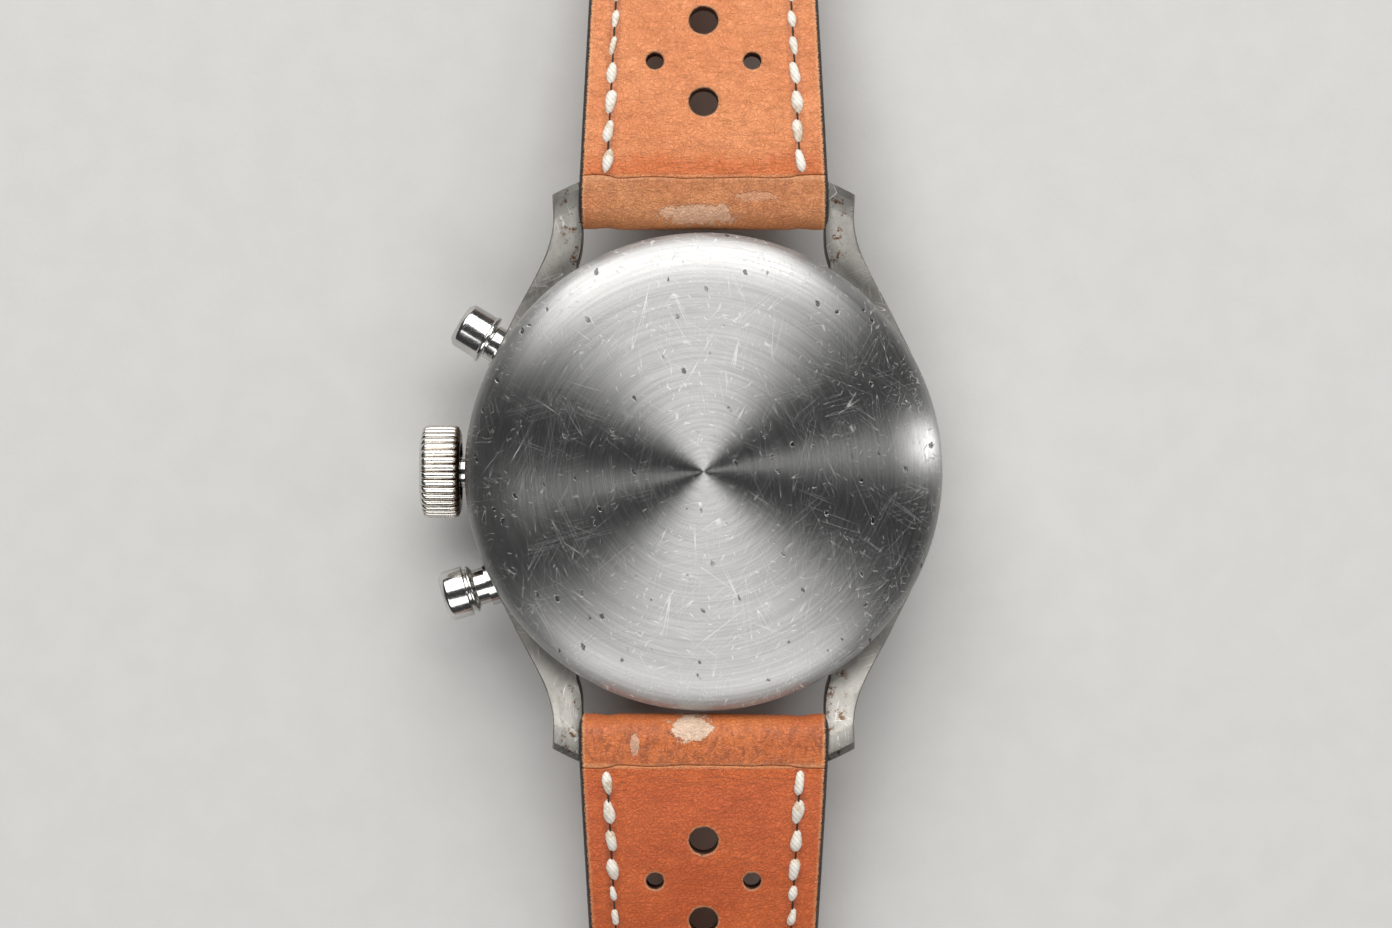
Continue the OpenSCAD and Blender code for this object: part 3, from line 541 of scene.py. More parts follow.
def make_case_back():
    """A flat disc with a rolled rim that reaches down to the case middle."""
    flat_r = high("case_back").x * 0.765
    turn = 18
    rim_r = CASE_R - 0.08
    foot = SEAT_Z + 0.02
    edge_h = 0.62
    rise = CASE_H - foot - edge_h
    profile = [(r, CASE_H) for r in spaced(0.0, flat_r, 12)]
    for k in range(1, turn + 1):
        a = math.pi / 2 * k / turn
        r = flat_r + (rim_r - flat_r) * math.sin(a)
        profile.append((r, foot + edge_h + rise * math.cos(a) ** 0.94))
    profile += [(rim_r - 0.02, foot + 0.05), (rim_r - 0.12, foot), (16.1, foot)]
    profile += [(16.0, CASE_H - 1.2), (15.6, CASE_H - 0.8), (0.0, CASE_H - 0.8)]
    piece("case_back_shell", lathe(profile, 360), case_back_steel(), "case", ["case_back"])


TIP_SLANT = 1.1


def lug_outline(y):
    """How far out a lug reaches at a distance along the strap."""
    past = LUG_Y - TIP_SLANT - y
    if past < 0:
        return LUG_X + 2.1
    return LUG_X + 2.1 + 0.12 * past + 0.0175 * past * past


def lug_shape(sx, sy):
    """A curved lug with a slanted end, which has a steep facet and a long shallow one."""
    inner_root = 13.9
    root_slant = 5.7
    facet, end = 1.5, 0.42
    places = spaced(inner_root, LUG_Y - facet, 34)
    places += [LUG_Y - d for d in (facet - 0.05, 1.2, 0.9, end + 0.05, end, 0.3, 0.1, 0.03, 0.0)]
    rings = []
    for y_inner in places:
        t = (y_inner - inner_root) / (LUG_Y - inner_root)
        slant = TIP_SLANT + (root_slant - TIP_SLANT) * (1 - smooth(t * 1.15))
        left = LUG_Y - y_inner

        def at(f, g):
            """A point of the cross-section: f is the share across, g the share from front to back."""
            y = y_inner - slant * f
            x = LUG_X + (lug_outline(y) - LUG_X) * f
            keep = min(1.0, (CASE_R - 0.08 + 6 * t * t) / math.hypot(x, y))
            x *= keep
            y *= keep
            reach = math.hypot(x, y) - CASE_R - 0.1
            top = SEAT_Z - 0.02 + 1.6 * smooth(reach / 6.3)
            top -= 0.16 * max(0, facet - left) / facet + 0.5 * max(0, end - left) / end
            front = 4.45 + 5.8 * (max(0, y - 14) / (LUG_Y - 14)) ** 2
            return Vector((sx * x, sy * y, front + (top - front) * g))
        thick = max(at(0.5, 1).z - at(0.5, 0).z, 0.5)
        wide = abs(at(1, 0.5).x - at(0, 0.5).x)
        b, s = 0.2 / wide, 0.2 / thick
        outline = [
            (0, s * 0.5), (0, 1 - s * 0.5), (b * 0.15, 1 - s * 0.15), (b * 0.5, 1), (0.35, 1), (0.7, 1),
            (1 - b, 1), (1 - b * 0.45, 1 - s * 0.18), (1, 1 - s * 0.9), (1, 0.5), (1, s),
            (1 - b * 0.3, s * 0.3), (1 - b, 0), (0.5, 0), (b * 0.5, 0), (b * 0.15, s * 0.15),
        ]
        rings.append([at(f, g) for f, g in outline])
    return loft(rings)


def make_case_middle():
    """The round band between bezel and back, with its four lugs."""
    bottom = high("bezel").z + 0.02
    band = rounded([
        (16.0, bottom, 0), (CASE_R - 0.5, bottom, 0.3), (CASE_R, bottom + 1.2, 0.5),
        (CASE_R, SEAT_Z - 0.6, 0.25), (CASE_R - 0.25, SEAT_Z, 0.12), (17.4, SEAT_Z, 0),
        (17.4, SEAT_Z + 1, 0.1), (16.0, SEAT_Z + 1, 0),
    ])
    shapes = [lathe(band, 288, closed=True)]
    shapes += [lug_shape(sx, sy) for sx in (-1, 1) for sy in (-1, 1)]
    piece("case_band_and_lugs", joined(*shapes), SATIN, "case", ["case_middle"], angle=28)


def make_bezel():
    """The ring that holds the crystal, widest near the case middle."""
    top, seat, r = high("bezel").z, low("bezel").z, high("bezel").x
    profile = rounded([
        (15.5, top - 0.5, 0), (16.45, top - 0.5, 0), (16.45, seat + 0.15, 0.1), (17.0, seat, 0.2),
        (17.9, seat + 0.35, 0.5), (r, seat + 1.5, 0.7), (r - 0.05, top, 0.1), (15.5, top, 0),
    ])
    piece("bezel_ring", lathe(profile, 256, closed=True), POLISHED, "case", ["bezel"])


def make_crystal():
    """A domed acrylic crystal, thick enough to cast its edge ring."""
    r = high("crystal").x
    rise, thick = 1.6, 1.2
    dome = (r * r + rise * rise) / (2 * rise)

    def height(s):
        return dome - math.sqrt(dome * dome - s * s)
    profile = [(s, height(s)) for s in spaced(0, r, 24)]
    profile += [(r, 3.5), (r - 0.1, 3.6), (r - 0.9, 3.6), (r - 1, 3.5)]
    profile += [(s, thick + height(s)) for s in spaced(r - 1, 0, 24)]
    g = Graph("acrylic", {"Transmission Weight": 1.0, "IOR": 1.49, "Base Color": (0.98, 0.985, 0.98, 1)})
    g.set("Roughness", g.mul(g.scratches(0.45), 0.3))
    g.set("Normal", g.bump(g.noise(0.4, 2.0), 0.004))
    piece("domed_crystal", lathe(profile, 256), g.material, "case", ["crystal"])


# ---- Crown and pushers ----

def across(direction, offset=0.0):
    """Turns a shape made about +Z so that +Z runs outwards across the case."""
    turn = Matrix.Rotation(math.radians(direction), 4, "Z")
    lay_down = Matrix.Rotation(math.pi / 2, 4, "Y")
    return Matrix.Translation((0, 0, AXIS_Z)) @ turn @ Matrix.Translation((0, offset, 0)) @ lay_down


def make_crown():
    """Rounded ridges with deep grooves between them, which run out in rounded ends."""
    ridges = 36
    per_ridge = 10
    depth = 0.34
    inner, outer = CROWN_IN, CROWN_OUT
    stations = [
        (inner, 2.3, 0.0), (inner, 3.1, 0.0), (inner + 0.06, 3.28, 0.3),
        (inner + 0.2, CROWN_R - 0.16, 0.75), (inner + 0.42, CROWN_R - 0.03, 1.0),
        (inner + 0.7, CROWN_R, 1.0), (inner + 1.6, CROWN_R, 1.0), (outer - 0.75, CROWN_R, 1.0),
        (outer - 0.48, CROWN_R - 0.04, 1.0), (outer - 0.28, CROWN_R - 0.16, 0.85),
        (outer - 0.16, CROWN_R - 0.36, 0.45), (outer - 0.13, CROWN_R - 0.52, 0.0),
        (outer - 0.1, CROWN_R - 0.8, 0.0), (outer - 0.02, CROWN_R - 1.1, 0.0),
        (outer, CROWN_R - 2.2, 0.0), (outer, 0.0, 0.0),
    ]
    rings = []
    for s, r, share in stations:
        ring = []
        for k in range(ridges * per_ridge):
            a = 2 * math.pi * k / (ridges * per_ridge)
            u = abs(2 * ((k / per_ridge) % 1) - 1)
            cut = depth * share * (1 - math.sqrt(max(0.0, 1 - (0.99 * u) ** 2.6)))
            ring.append(Vector(((r - cut) * math.cos(a), (r - cut) * math.sin(a), s)))
        rings.append(ring)
    shape = moved(loft(rings, cap=False), across(180))
    g = Graph("crown_steel", {"Metallic": 1.0})
    groove = g.fit(g.hypot(g.y, g.less(g.z, AXIS_Z)), CROWN_R - 0.22, CROWN_R - 0.03, 1.0, 0.0)
    groove = g.mul(groove, g.fit(g.x, -(outer - 0.1), -(outer - 0.45)))
    case_side = g.fit(g.x, -(inner + 1.7), -(inner + 0.5))
    soil = g.fit(g.noise(1.4, 3.0), 0.4, 0.6, 0.1, 0.4)
    dirt = g.mul(groove, g.plus(g.mul(case_side, 0.75), soil))
    shade = g.mix(dirt, srgb(220, 216, 208), srgb(92, 58, 34))
    g.finish(shade, g.fit(g.noise(5.0, 3.0), 0.3, 0.7, 0.16, 0.3), g.bump(g.noise(7.0, 3.0), 0.003))
    piece("fluted_crown", shape, g.material, "crown", ["crown"], angle=50)


def pusher_shape(cap_r, cap_len, pin_end, groove):
    """Polished cap with a chamfered face, a ring or groove at its base, a neck and an inner pin."""
    face, neck_r = 22.75, 1.43
    base = face - cap_len
    if groove:
        foot = [
            (neck_r, base - 0.3, 0.05), (cap_r - 0.12, base - 0.05, 0.1), (cap_r - 0.12, base + 0.12, 0.04),
            (cap_r - 0.3, base + 0.2, 0.03), (cap_r - 0.3, base + 0.38, 0.03), (cap_r, base + 0.45, 0.04),
        ]
    else:
        foot = [
            (neck_r, base - 0.2, 0.05), (1.25, base - 0.15, 0.03), (1.25, base, 0.03),
            (cap_r + 0.14, base, 0.08), (cap_r + 0.14, base + 0.28, 0.08), (cap_r, base + 0.34, 0.04),
        ]
    return lathe(rounded([
        (0, pin_end, 0), (0.6, pin_end, 0.08), (0.6, 17.6, 0), (neck_r, 17.6, 0.1), *foot,
        (cap_r, face - 0.42, 0.14), (cap_r - 0.36, face - 0.05, 0.12), (0, face, 0),
    ], 4), 96)


def make_pushers():
    start = moved(pusher_shape(1.85, 2.75, 15.1, False), across(148.5))
    piece("start_button", start, POLISHED, "start_pusher", ["start_pusher"])
    reset = moved(pusher_shape(2.0, 2.45, 14.6, True), across(197, 3.56))
    piece("reset_button", reset, POLISHED, "reset_pusher", ["reset_pusher"])


# ---- Strap ----

SEAM_Y = 23.1
FLAT_Y = 50.0
TAPER_Y = 62.0
FOLD_T = 4.0
STRAP_T = 2.4
LINING_T = 1.0
END_W = 8.0
BUCKLE_MID_Z = 4.7
TIP_MID_Z = STRAP_T / 2 + 0.15
HOLE_Y, HOLE_PITCH, HOLE_R = 29.15, 6.65, 1.15
SMALL_X, SMALL_R = 3.85, 0.7
TIP_ROUND = 9.0
LOWEST = 0.02


def half_width(y):
    share = (y - STRAP_BAR_Y - 1) / (TAPER_Y - STRAP_BAR_Y - 1)
    return STRAP_W + (END_W - STRAP_W) * min(max(share, 0), 1)


def near_lugs(y):
    """1 at the spring bar, falling to 0 where the strap lies flat."""
    return 1 - smooth((y - STRAP_BAR_Y) / (FLAT_Y - STRAP_BAR_Y))


def strap_mid(y, end_z):
    return end_z + (BAR_Z - end_z) * near_lugs(y)


def strap_half(y):
    return STRAP_T / 2 + (FOLD_T - STRAP_T) / 2 * near_lugs(y)


def stitch_x(y):
    """Where a row of stitches runs, as a distance from the strap's middle."""
    return half_width(y) - 2.15 + 0.25 * smooth((y - 40) / 20)


def round_off(d, r):
    """How much lower a surface is, at a distance from an edge rounded with radius r."""
    if d >= r:
        return 0.0
    return r - math.sqrt(max(0.0, r * r - (r - d) ** 2))


def nearest(values, target):
    """The index of the value that lies nearest to a target."""
    return min(range(len(values)), key=lambda i: abs(values[i] - target))


def hide(x, y, sign):
    """The slow unevenness of a leather surface, with a furrow along each row of stitches."""
    swell = noise.noise(Vector((x * 0.16, sign * y * 0.13, 3.0))) * 0.1
    ripple = noise.noise(Vector((x * 0.45, sign * y * 0.8, 9.0))) * 0.05
    furrow = math.exp(-((abs(x) - stitch_x(y)) / 0.5) ** 2) * 0.13
    near_seam = math.exp(-((y - SEAM_Y - 1.6) / 1.1) ** 2)
    pinch = noise.noise(Vector((x * 1.3, sign * y * 0.5, 5.0))) * 0.16 * near_seam
    return swell + ripple + pinch - furrow


class Layer:
    """A leather layer. Its stations each hold a (y, z) point of its outer skin and one of its inner skin."""

    end_rows = (0.0, 0.04, 0.1, 0.2, 0.35, 0.55)
    step = 0.55

    def __init__(self, stations, width, sign, seam_first, edge=0.42):
        self.stations = [(Vector(a), Vector(b)) for a, b in stations]
        self.at = [0.0]
        for a, b in zip(self.stations, self.stations[1:]):
            self.at.append(self.at[-1] + (b[0] - a[0]).length)
        self.length = self.at[-1]
        self.width = width
        self.sign = sign
        self.holes = []
        self.slots = []
        self.edge = edge
        self.seam_first = seam_first

    def skin(self, s):
        """The outer and the inner point at a length along the layer."""
        k = 0
        while k < len(self.at) - 2 and self.at[k + 1] < s:
            k += 1
        t = (s - self.at[k]) / max(self.at[k + 1] - self.at[k], 1e-9)
        (a, b), (c, d) = self.stations[k], self.stations[k + 1]
        return a.lerp(c, t), b.lerp(d, t)

    def wander(self, x, s):
        """How far the seam's end of the layer strays outwards, dying away along the layer."""
        past = s if self.seam_first else self.length - s
        curl = 0.2 * smooth((abs(x) - 6.7) / 0.9) + 0.16 * noise.noise(Vector((x * 0.5, 1.7, 4.0)))
        return curl * math.exp(-past / 0.9)

    def point(self, x, s, inner, extra=0.0):
        outer, inside = self.skin(s)
        shift = Vector((self.wander(x, s), 0))
        outer, inside = outer + shift, inside + shift
        if inner:
            return Vector((x, self.sign * inside.x, max(inside.y, LOWEST)))
        depth = inside - outer
        drop = max(
            round_off(self.width(outer.x) - abs(x), self.edge),
            round_off(min(s, self.length - s), 0.16),
            extra,
        )
        drop -= hide(x, outer.x, self.sign)
        p = outer + depth.normalized() * min(drop, depth.length * 0.9)
        return Vector((x, self.sign * p.x, max(p.y, LOWEST)))

    def rows(self):
        middle = self.length - 2 * self.end_rows[-1]
        inside = spaced(self.end_rows[-1], self.length - self.end_rows[-1], max(2, round(middle / self.step)))
        return list(self.end_rows) + inside[1:-1] + [self.length - s for s in reversed(self.end_rows)]

    def columns(self):
        """Shares of the half width, closer together at the edges."""
        near = [1 - d / STRAP_W for d in (0.0, 0.04, 0.1, 0.18, 0.3, 0.45, 0.65)]
        rest = spaced(near[-1], -near[-1], 32)[1:-1]
        shares = near + rest + [-f for f in reversed(near)]
        for x0, x1, *_ in self.slots:
            for edge in (x0, x1):
                shares[nearest(shares, edge / END_W)] = edge / END_W
        return shares

    def build(self):
        """Points, faces and a mark for each face: 0 on a skin, 1 on the outline and 2 in a hole."""
        rows, shares = self.rows(), self.columns()
        verts, faces, marks = [], [], []

        def add(x, s, extra=0.0):
            """A point on the outer skin, and after it the one below it on the inner skin."""
            verts.append(self.point(x, s, False, extra))
            verts.append(self.point(x, s, True))
            return len(verts) - 2

        def both(corners, mark=0):
            faces.append(tuple(corners))
            faces.append(tuple(c + 1 for c in reversed(corners)))
            marks.extend((mark, mark))

        def wall(loop, mark):
            for a, b in zip(loop, loop[1:] + loop[:1]):
                faces.append((a, b, b + 1, a + 1))
                marks.append(mark)

        grid = []
        for s in rows:
            w = self.width(self.skin(s)[0].x)
            grid.append([add(f * w, s) for f in shares])
        closed = set()
        blocks = []
        for x, s, r in self.holes:
            w = self.width(self.skin(s)[0].x)
            reach = r + 0.38
            i0 = max(i for i, v in enumerate(rows) if v <= s - reach)
            i1 = min(i for i, v in enumerate(rows) if v >= s + reach)
            j0 = max(j for j, f in enumerate(shares) if f * w >= x + reach)
            j1 = min(j for j, f in enumerate(shares) if f * w <= x - reach)
            blocks.append((i0, i1, j0, j1, (x, s, r)))
        for x0, x1, s0, s1 in self.slots:
            across_slot = nearest(shares, x1 / END_W), nearest(shares, x0 / END_W)
            blocks.append((nearest(rows, s0), nearest(rows, s1), *across_slot, None))
        for i0, i1, j0, j1, circle in blocks:
            closed |= {(i, j) for i in range(i0, i1) for j in range(j0, j1)}
            loop = [(i0, j) for j in range(j0, j1)] + [(i, j1) for i in range(i0, i1)]
            loop += [(i1, j) for j in range(j1, j0, -1)] + [(i, j0) for i in range(i1, i0, -1)]
            ring = [grid[i][j] for i, j in loop]
            if circle:
                x, s, r = circle
                ways = []
                for i, j in loop:
                    w = self.width(self.skin(rows[i])[0].x)
                    ways.append(Vector((shares[j] * w - x, rows[i] - s)).normalized())
                for past in (0.26, 0.17, 0.09, 0.03, 0.0):
                    drop = round_off(past, 0.26)
                    inner = [add(x + v.x * (r + past), s + v.y * (r + past), drop) for v in ways]
                    for k in range(len(ring)):
                        n = (k + 1) % len(ring)
                        both((ring[k], ring[n], inner[n], inner[k]))
                    ring = inner
            wall(ring, 2)
        for i in range(len(rows) - 1):
            for j in range(len(shares) - 1):
                if (i, j) not in closed:
                    both((grid[i][j], grid[i][j + 1], grid[i + 1][j + 1], grid[i + 1][j]))
        last_i, last_j = len(rows) - 1, len(shares) - 1
        outline = grid[0][:last_j] + [grid[i][last_j] for i in range(last_i)]
        outline += grid[last_i][:0:-1] + [grid[i][0] for i in range(last_i, 0, -1)]
        wall(outline, 1)
        return verts, faces, marks

    def length_at(self, y, lower):
        """The length along the layer at which its outer skin is at y, on its lower or its upper side."""
        best, found = 1e9, 0.0
        for s in spaced(0.0, self.length, 4000):
            outer, inside = self.skin(s)
            if (outer.y < inside.y) == lower and abs(outer.x - y) < best:
                best, found = abs(outer.x - y), s
        return found


BAR_HOLE = 0.95


def seam_stations(mid_z, first_y, last_y, steps):
    """Stations along the back of the strap, a lining's thickness deep."""
    out = []
    for y in spaced(first_y, last_y, steps):
        top = strap_mid(y, mid_z) + strap_half(y)
        out.append(((y, top), (y, top - LINING_T)))
    return out


def lower_stations(mid_z, from_y, to_y, steps):
    """Stations of the outer leather's long lower run, which narrows to go under the spring bar."""
    out = []
    for y in spaced(from_y, to_y, steps):
        mid, half = strap_mid(y, mid_z), strap_half(y)
        inside = mid + half - LINING_T - 0.02
        pinch = 1 - smooth((y - STRAP_BAR_Y) / 3.4)
        out.append(((y, mid - half), (y, inside + (BAR_Z - BAR_HOLE - inside) * pinch)))
    return out


def loop_stations(centre_y, centre_z, outer_r, inner_r, start, end, steps):
    """Stations round a bar, with the angles measured about +X from +Y."""
    centre = Vector((centre_y, centre_z))
    out = []
    for degrees in spaced(start, end, steps)[1:-1]:
        a = math.radians(degrees)
        way = Vector((math.cos(a), math.sin(a)))
        out.append((centre + way * outer_r, centre + way * inner_r))
    return out


def fold_stations(mid_z):
    """Stations of the fold, from under the spring bar to the seam on the back."""
    out = loop_stations(STRAP_BAR_Y, BAR_Z, FOLD_T / 2, BAR_HOLE, 270, 90, 22)
    return out + seam_stations(mid_z, STRAP_BAR_Y, SEAM_Y - 0.02, 4)


def strap_holes(layer, lower, extra):
    """The large holes on the centre line, the small pairs between them, and any others."""
    places = [(0.0, HOLE_Y + i * HOLE_PITCH, HOLE_R) for i in range(3)]
    for i in range(2):
        places += [(s * SMALL_X, HOLE_Y + (i + 0.5) * HOLE_PITCH, SMALL_R) for s in (-1, 1)]
    return [(x, layer.length_at(y, lower), r) for x, y, r in places + extra]


def tip_width(y):
    """The tip half's half width, which closes in a round end."""
    past = y - (TIP_Y - TIP_ROUND)
    if past <= 0:
        return half_width(y)
    return END_W * math.sqrt(max(1 - (past / TIP_ROUND) ** 2, 0.003))


# ---- Leather ----

def edge_of(g):
    """The strap's half width along its length, for a material."""
    return g.fit(g.abs(g.y), STRAP_BAR_Y + 1, TAPER_Y, STRAP_W, END_W, even=False)


def hole_rim_highlight_and_shade(g, shade, rise):
    """Pale rims round the holes as painted highlight on the rounded rims, and painted shade at each hole's
    edge where the rim turns down into it.
    """
    away = g.abs(g.y)
    large = (0.0, HOLE_Y, 3, HOLE_R)
    small = (SMALL_X, HOLE_Y + HOLE_PITCH / 2, 2, SMALL_R)
    for x, first, count, r in (large, small):
        step = g.mul(g.less(away, first), 1 / HOLE_PITCH)
        hole = g.math("MINIMUM", g.most(g.math("ROUND", step), 0.0), count - 1.0)
        d = g.hypot(g.less(g.abs(g.x), x), g.mul(g.less(step, hole), HOLE_PITCH))
        d = g.plus(d, g.fit(g.noise(3.0, 3.0), 0.3, 0.7, -0.05, 0.05))
        # painted highlight: a pale ring on the rounded rim round each hole
        shade = g.mix(g.fit(d, r + 0.05, r + 0.2, 0.7, 0.0), shade, srgb(214, 160, 118))
        # painted shade: a dark ring at each hole's edge, where the rim turns down into the hole
        shade = g.mix(g.fit(d, r - 0.1, r + 0.1, 1.0, 0.0), shade, srgb(62, 34, 18))
    return shade, rise


def stitch_marks(g, shade, rise):
    """A soiled line along each row of stitches."""
    line = g.plus(edge_of(g), g.fit(g.abs(g.y), 40, 60, -2.15, -1.9))
    off = g.abs(g.less(g.abs(g.x), line))
    soil = g.mul(g.fit(off, 0.25, 0.75, 0.45, 0.0), g.fit(g.noise(1.5, 3.0), 0.3, 0.7, 0.4, 1.0))
    return g.mix(soil, shade, srgb(120, 60, 30)), rise


def fold_wear_and_highlight(scuffs, streaks):
    """Pale scuffs where the fold rubs on the case, given as (x, y, half length, half width, strength), with
    darker streaks and a painted highlight on the fold's end at the seam.
    """
    # The scuffs and streaks are wear; the pale line at the seam is painted highlight.
    def wear(g, shade, rise):
        away = g.abs(g.y)
        back = g.fit(g.z, BAR_Z, BAR_Z + 0.6)
        lane = g.mul(g.fit(away, SEAM_Y - 3.6, SEAM_Y - 2.6), back)
        streak = g.fit(g.noise(1.0, 4.0, 0.65, at=g.stretched(1.6, 0.8, 1.0), bend=0.8), 0.42, 0.68)
        shade = g.mix(g.mul(g.mul(streak, lane), streaks), shade, srgb(120, 62, 34))
        for x, y, long, wide, strength in scuffs:
            d = g.hypot(g.mul(g.less(g.x, x), 1 / long), g.mul(g.less(away, y), 1 / wide))
            d = g.plus(d, g.fit(g.noise(1.3, 5.0, 0.7), 0.3, 0.7, -0.35, 0.35))
            scuff = g.mul(g.fit(d, 0.88, 1.08, 1.0, 0.0), back)
            shade = g.mix(g.mul(scuff, strength), shade, srgb(226, 198, 172))
            rise = g.less(rise, g.mul(scuff, 0.6))
        # painted highlight: a pale line on the rounded end of the fold at the seam
        lip_highlight = g.fit(away, SEAM_Y - 0.3, SEAM_Y, 0.0, 0.4)
        return g.mix(g.mul(lip_highlight, back), shade, srgb(226, 170, 120)), rise
    return wear


# each also paints a highlight on the fold's end at the seam
TOP_WEAR_AND_HIGHLIGHT = fold_wear_and_highlight([(-0.4, 20.2, 3.0, 0.8, 0.4), (4.2, 21.6, 1.6, 0.4, 0.2)], 0.3)
LOW_WEAR_AND_HIGHLIGHT = fold_wear_and_highlight([(-0.9, 20.1, 1.7, 1.0, 0.9), (-5.4, 21.4, 0.35, 0.9, 0.5)], 0.6)
# the holes' pale rims and dark edges are painted highlight and painted shade
SEWN = (hole_rim_highlight_and_shade, stitch_marks)
LINING_TOP = leather("lining_upper", srgb(230, 144, 88), srgb(218, 126, 70), edge_of, SEAM_Y, SEWN)
LINING_LOW = leather("lining_lower", srgb(214, 102, 40), srgb(198, 86, 30), edge_of, SEAM_Y, SEWN)
# the holes' painted highlight and shade, with the fold's wear and its painted highlight
TOP_WEAR_AND_LIGHT = (hole_rim_highlight_and_shade, TOP_WEAR_AND_HIGHLIGHT)
LOW_WEAR_AND_LIGHT = (hole_rim_highlight_and_shade, LOW_WEAR_AND_HIGHLIGHT)
FOLD_TOP = leather("fold_upper", srgb(210, 138, 86), srgb(190, 112, 62), edge_of, None, TOP_WEAR_AND_LIGHT)
FOLD_LOW = leather("fold_lower", srgb(220, 124, 62), srgb(196, 98, 46), edge_of, None, LOW_WEAR_AND_LIGHT)
PAINTED_EDGE = plain("edge_paint", srgb(44, 28, 20), 0.42, 0.02, 3.0)
CUT_LEATHER = plain("cut_leather", srgb(88, 48, 26), 0.85, 0.03, 5.0)


def buckle_end(far_y, mid_z):
    """Stations of the outer leather round the buckle bar, from the lining's end to the lower run."""
    def lift(y):
        return smooth((y - 88.5) / (far_y - 88.5))
    out = []
    for y in spaced(86.95, far_y, 8)[:-1]:
        out.append(((y, mid_z + STRAP_T / 2 + 0.7 * lift(y)), (y, mid_z + 0.04 + 0.81 * lift(y))))
    out.append(((far_y, mid_z + 1.9), (far_y, mid_z + 0.85)))
    out += loop_stations(far_y, mid_z, 1.9, 0.85, 90, -90, 16)
    out.append(((far_y, mid_z - 1.9), (far_y, mid_z - 0.85)))
    for y in spaced(far_y, 87.0, 8)[1:-1]:
        out.append(((y, mid_z - STRAP_T / 2 - 0.7 * lift(y)), (y, mid_z - 0.02 - 0.83 * lift(y))))
    return out


def make_strap_half(name, sign, mid_z, lining, outer, far_y, width, tip):
    """The lining and the outer leather of one half of the strap."""
    body = f"strap_{name}_half"
    top = Layer(seam_stations(mid_z, SEAM_Y, far_y if tip else 86.85, 90), width, sign, True)
    adjusting = [(0.0, TIP_Y - 25 - 7 * i, 0.9) for i in range(7)] if tip else []
    top.holes = strap_holes(top, False, adjusting)
    verts, faces, marks = top.build()
    materials = [lining, PAINTED_EDGE, CUT_LEATHER]
    piece(f"strap_{name}_lining", (verts, faces), materials, body, [body], marks=marks)
    if tip:
        stations = lower_stations(mid_z, far_y, STRAP_BAR_Y, 120)
    else:
        stations = buckle_end(far_y, mid_z) + lower_stations(mid_z, 86.8, STRAP_BAR_Y, 92)
    under = Layer(stations + fold_stations(mid_z), width, sign, False)
    under.holes = strap_holes(under, True, adjusting)
    if not tip:
        under.slots = [(-1.4, 1.4, under.length_at(90.5, False), under.length_at(90.5, True))]
    verts, faces, marks = under.build()
    materials = [outer, PAINTED_EDGE, CUT_LEATHER]
    piece(f"strap_{name}_outer", (verts, faces), materials, body, [], marks=marks)


def stitch(centre, way, up, length, width, lean, sunk=0.16):
    """One oval stitch with its two ends sunk in the leather."""
    way = way.normalized()
    side = up.cross(way).normalized()
    way, side = way * math.cos(lean) + side * math.sin(lean), side * math.cos(lean) - way * math.sin(lean)
    around, along = 10, 8
    rings = []
    for i in range(along + 1):
        t = -1 + 2 * i / along
        fat = math.sqrt(max(0.0, 1 - abs(t) ** 1.9)) * 0.92 + 0.08
        fat *= 1 - 0.12 * math.sin(3.1 * t + centre.x + centre.y)
        rise = 0.1 - t * t * sunk
        middle = centre + way * (t * length / 2) + up * rise
        ring = []
        for k in range(around):
            a = 2 * math.pi * k / around
            p = middle + side * (width / 2 * fat * math.cos(a)) + up * (width * 0.36 * fat * math.sin(a))
            ring.append(Vector((p.x, p.y, max(p.z, LOWEST))))
        rings.append(ring)
    return loft(rings)


def stitch_path(pitch, last_y, tip):
    """Places along a row of stitches as (x, y), starting at the seam. The tip's rows meet round its end."""
    out = []
    y = SEAM_Y + 1.35
    straight = TIP_Y - TIP_ROUND if tip else last_y
    while y < straight:
        out.append(Vector((stitch_x(y), y)))
        y += 2.35 if len(out) < 4 else pitch
    if tip:
        rx, ry = stitch_x(straight), TIP_ROUND - 2.0
        count = round(math.pi / 2 * (rx + ry) / 2 / pitch)
        for k in range(count):
            a = math.pi / 2 * (k + 0.5) / count
            out.append(Vector((rx * math.cos(a), straight + ry * math.sin(a))))
    return out


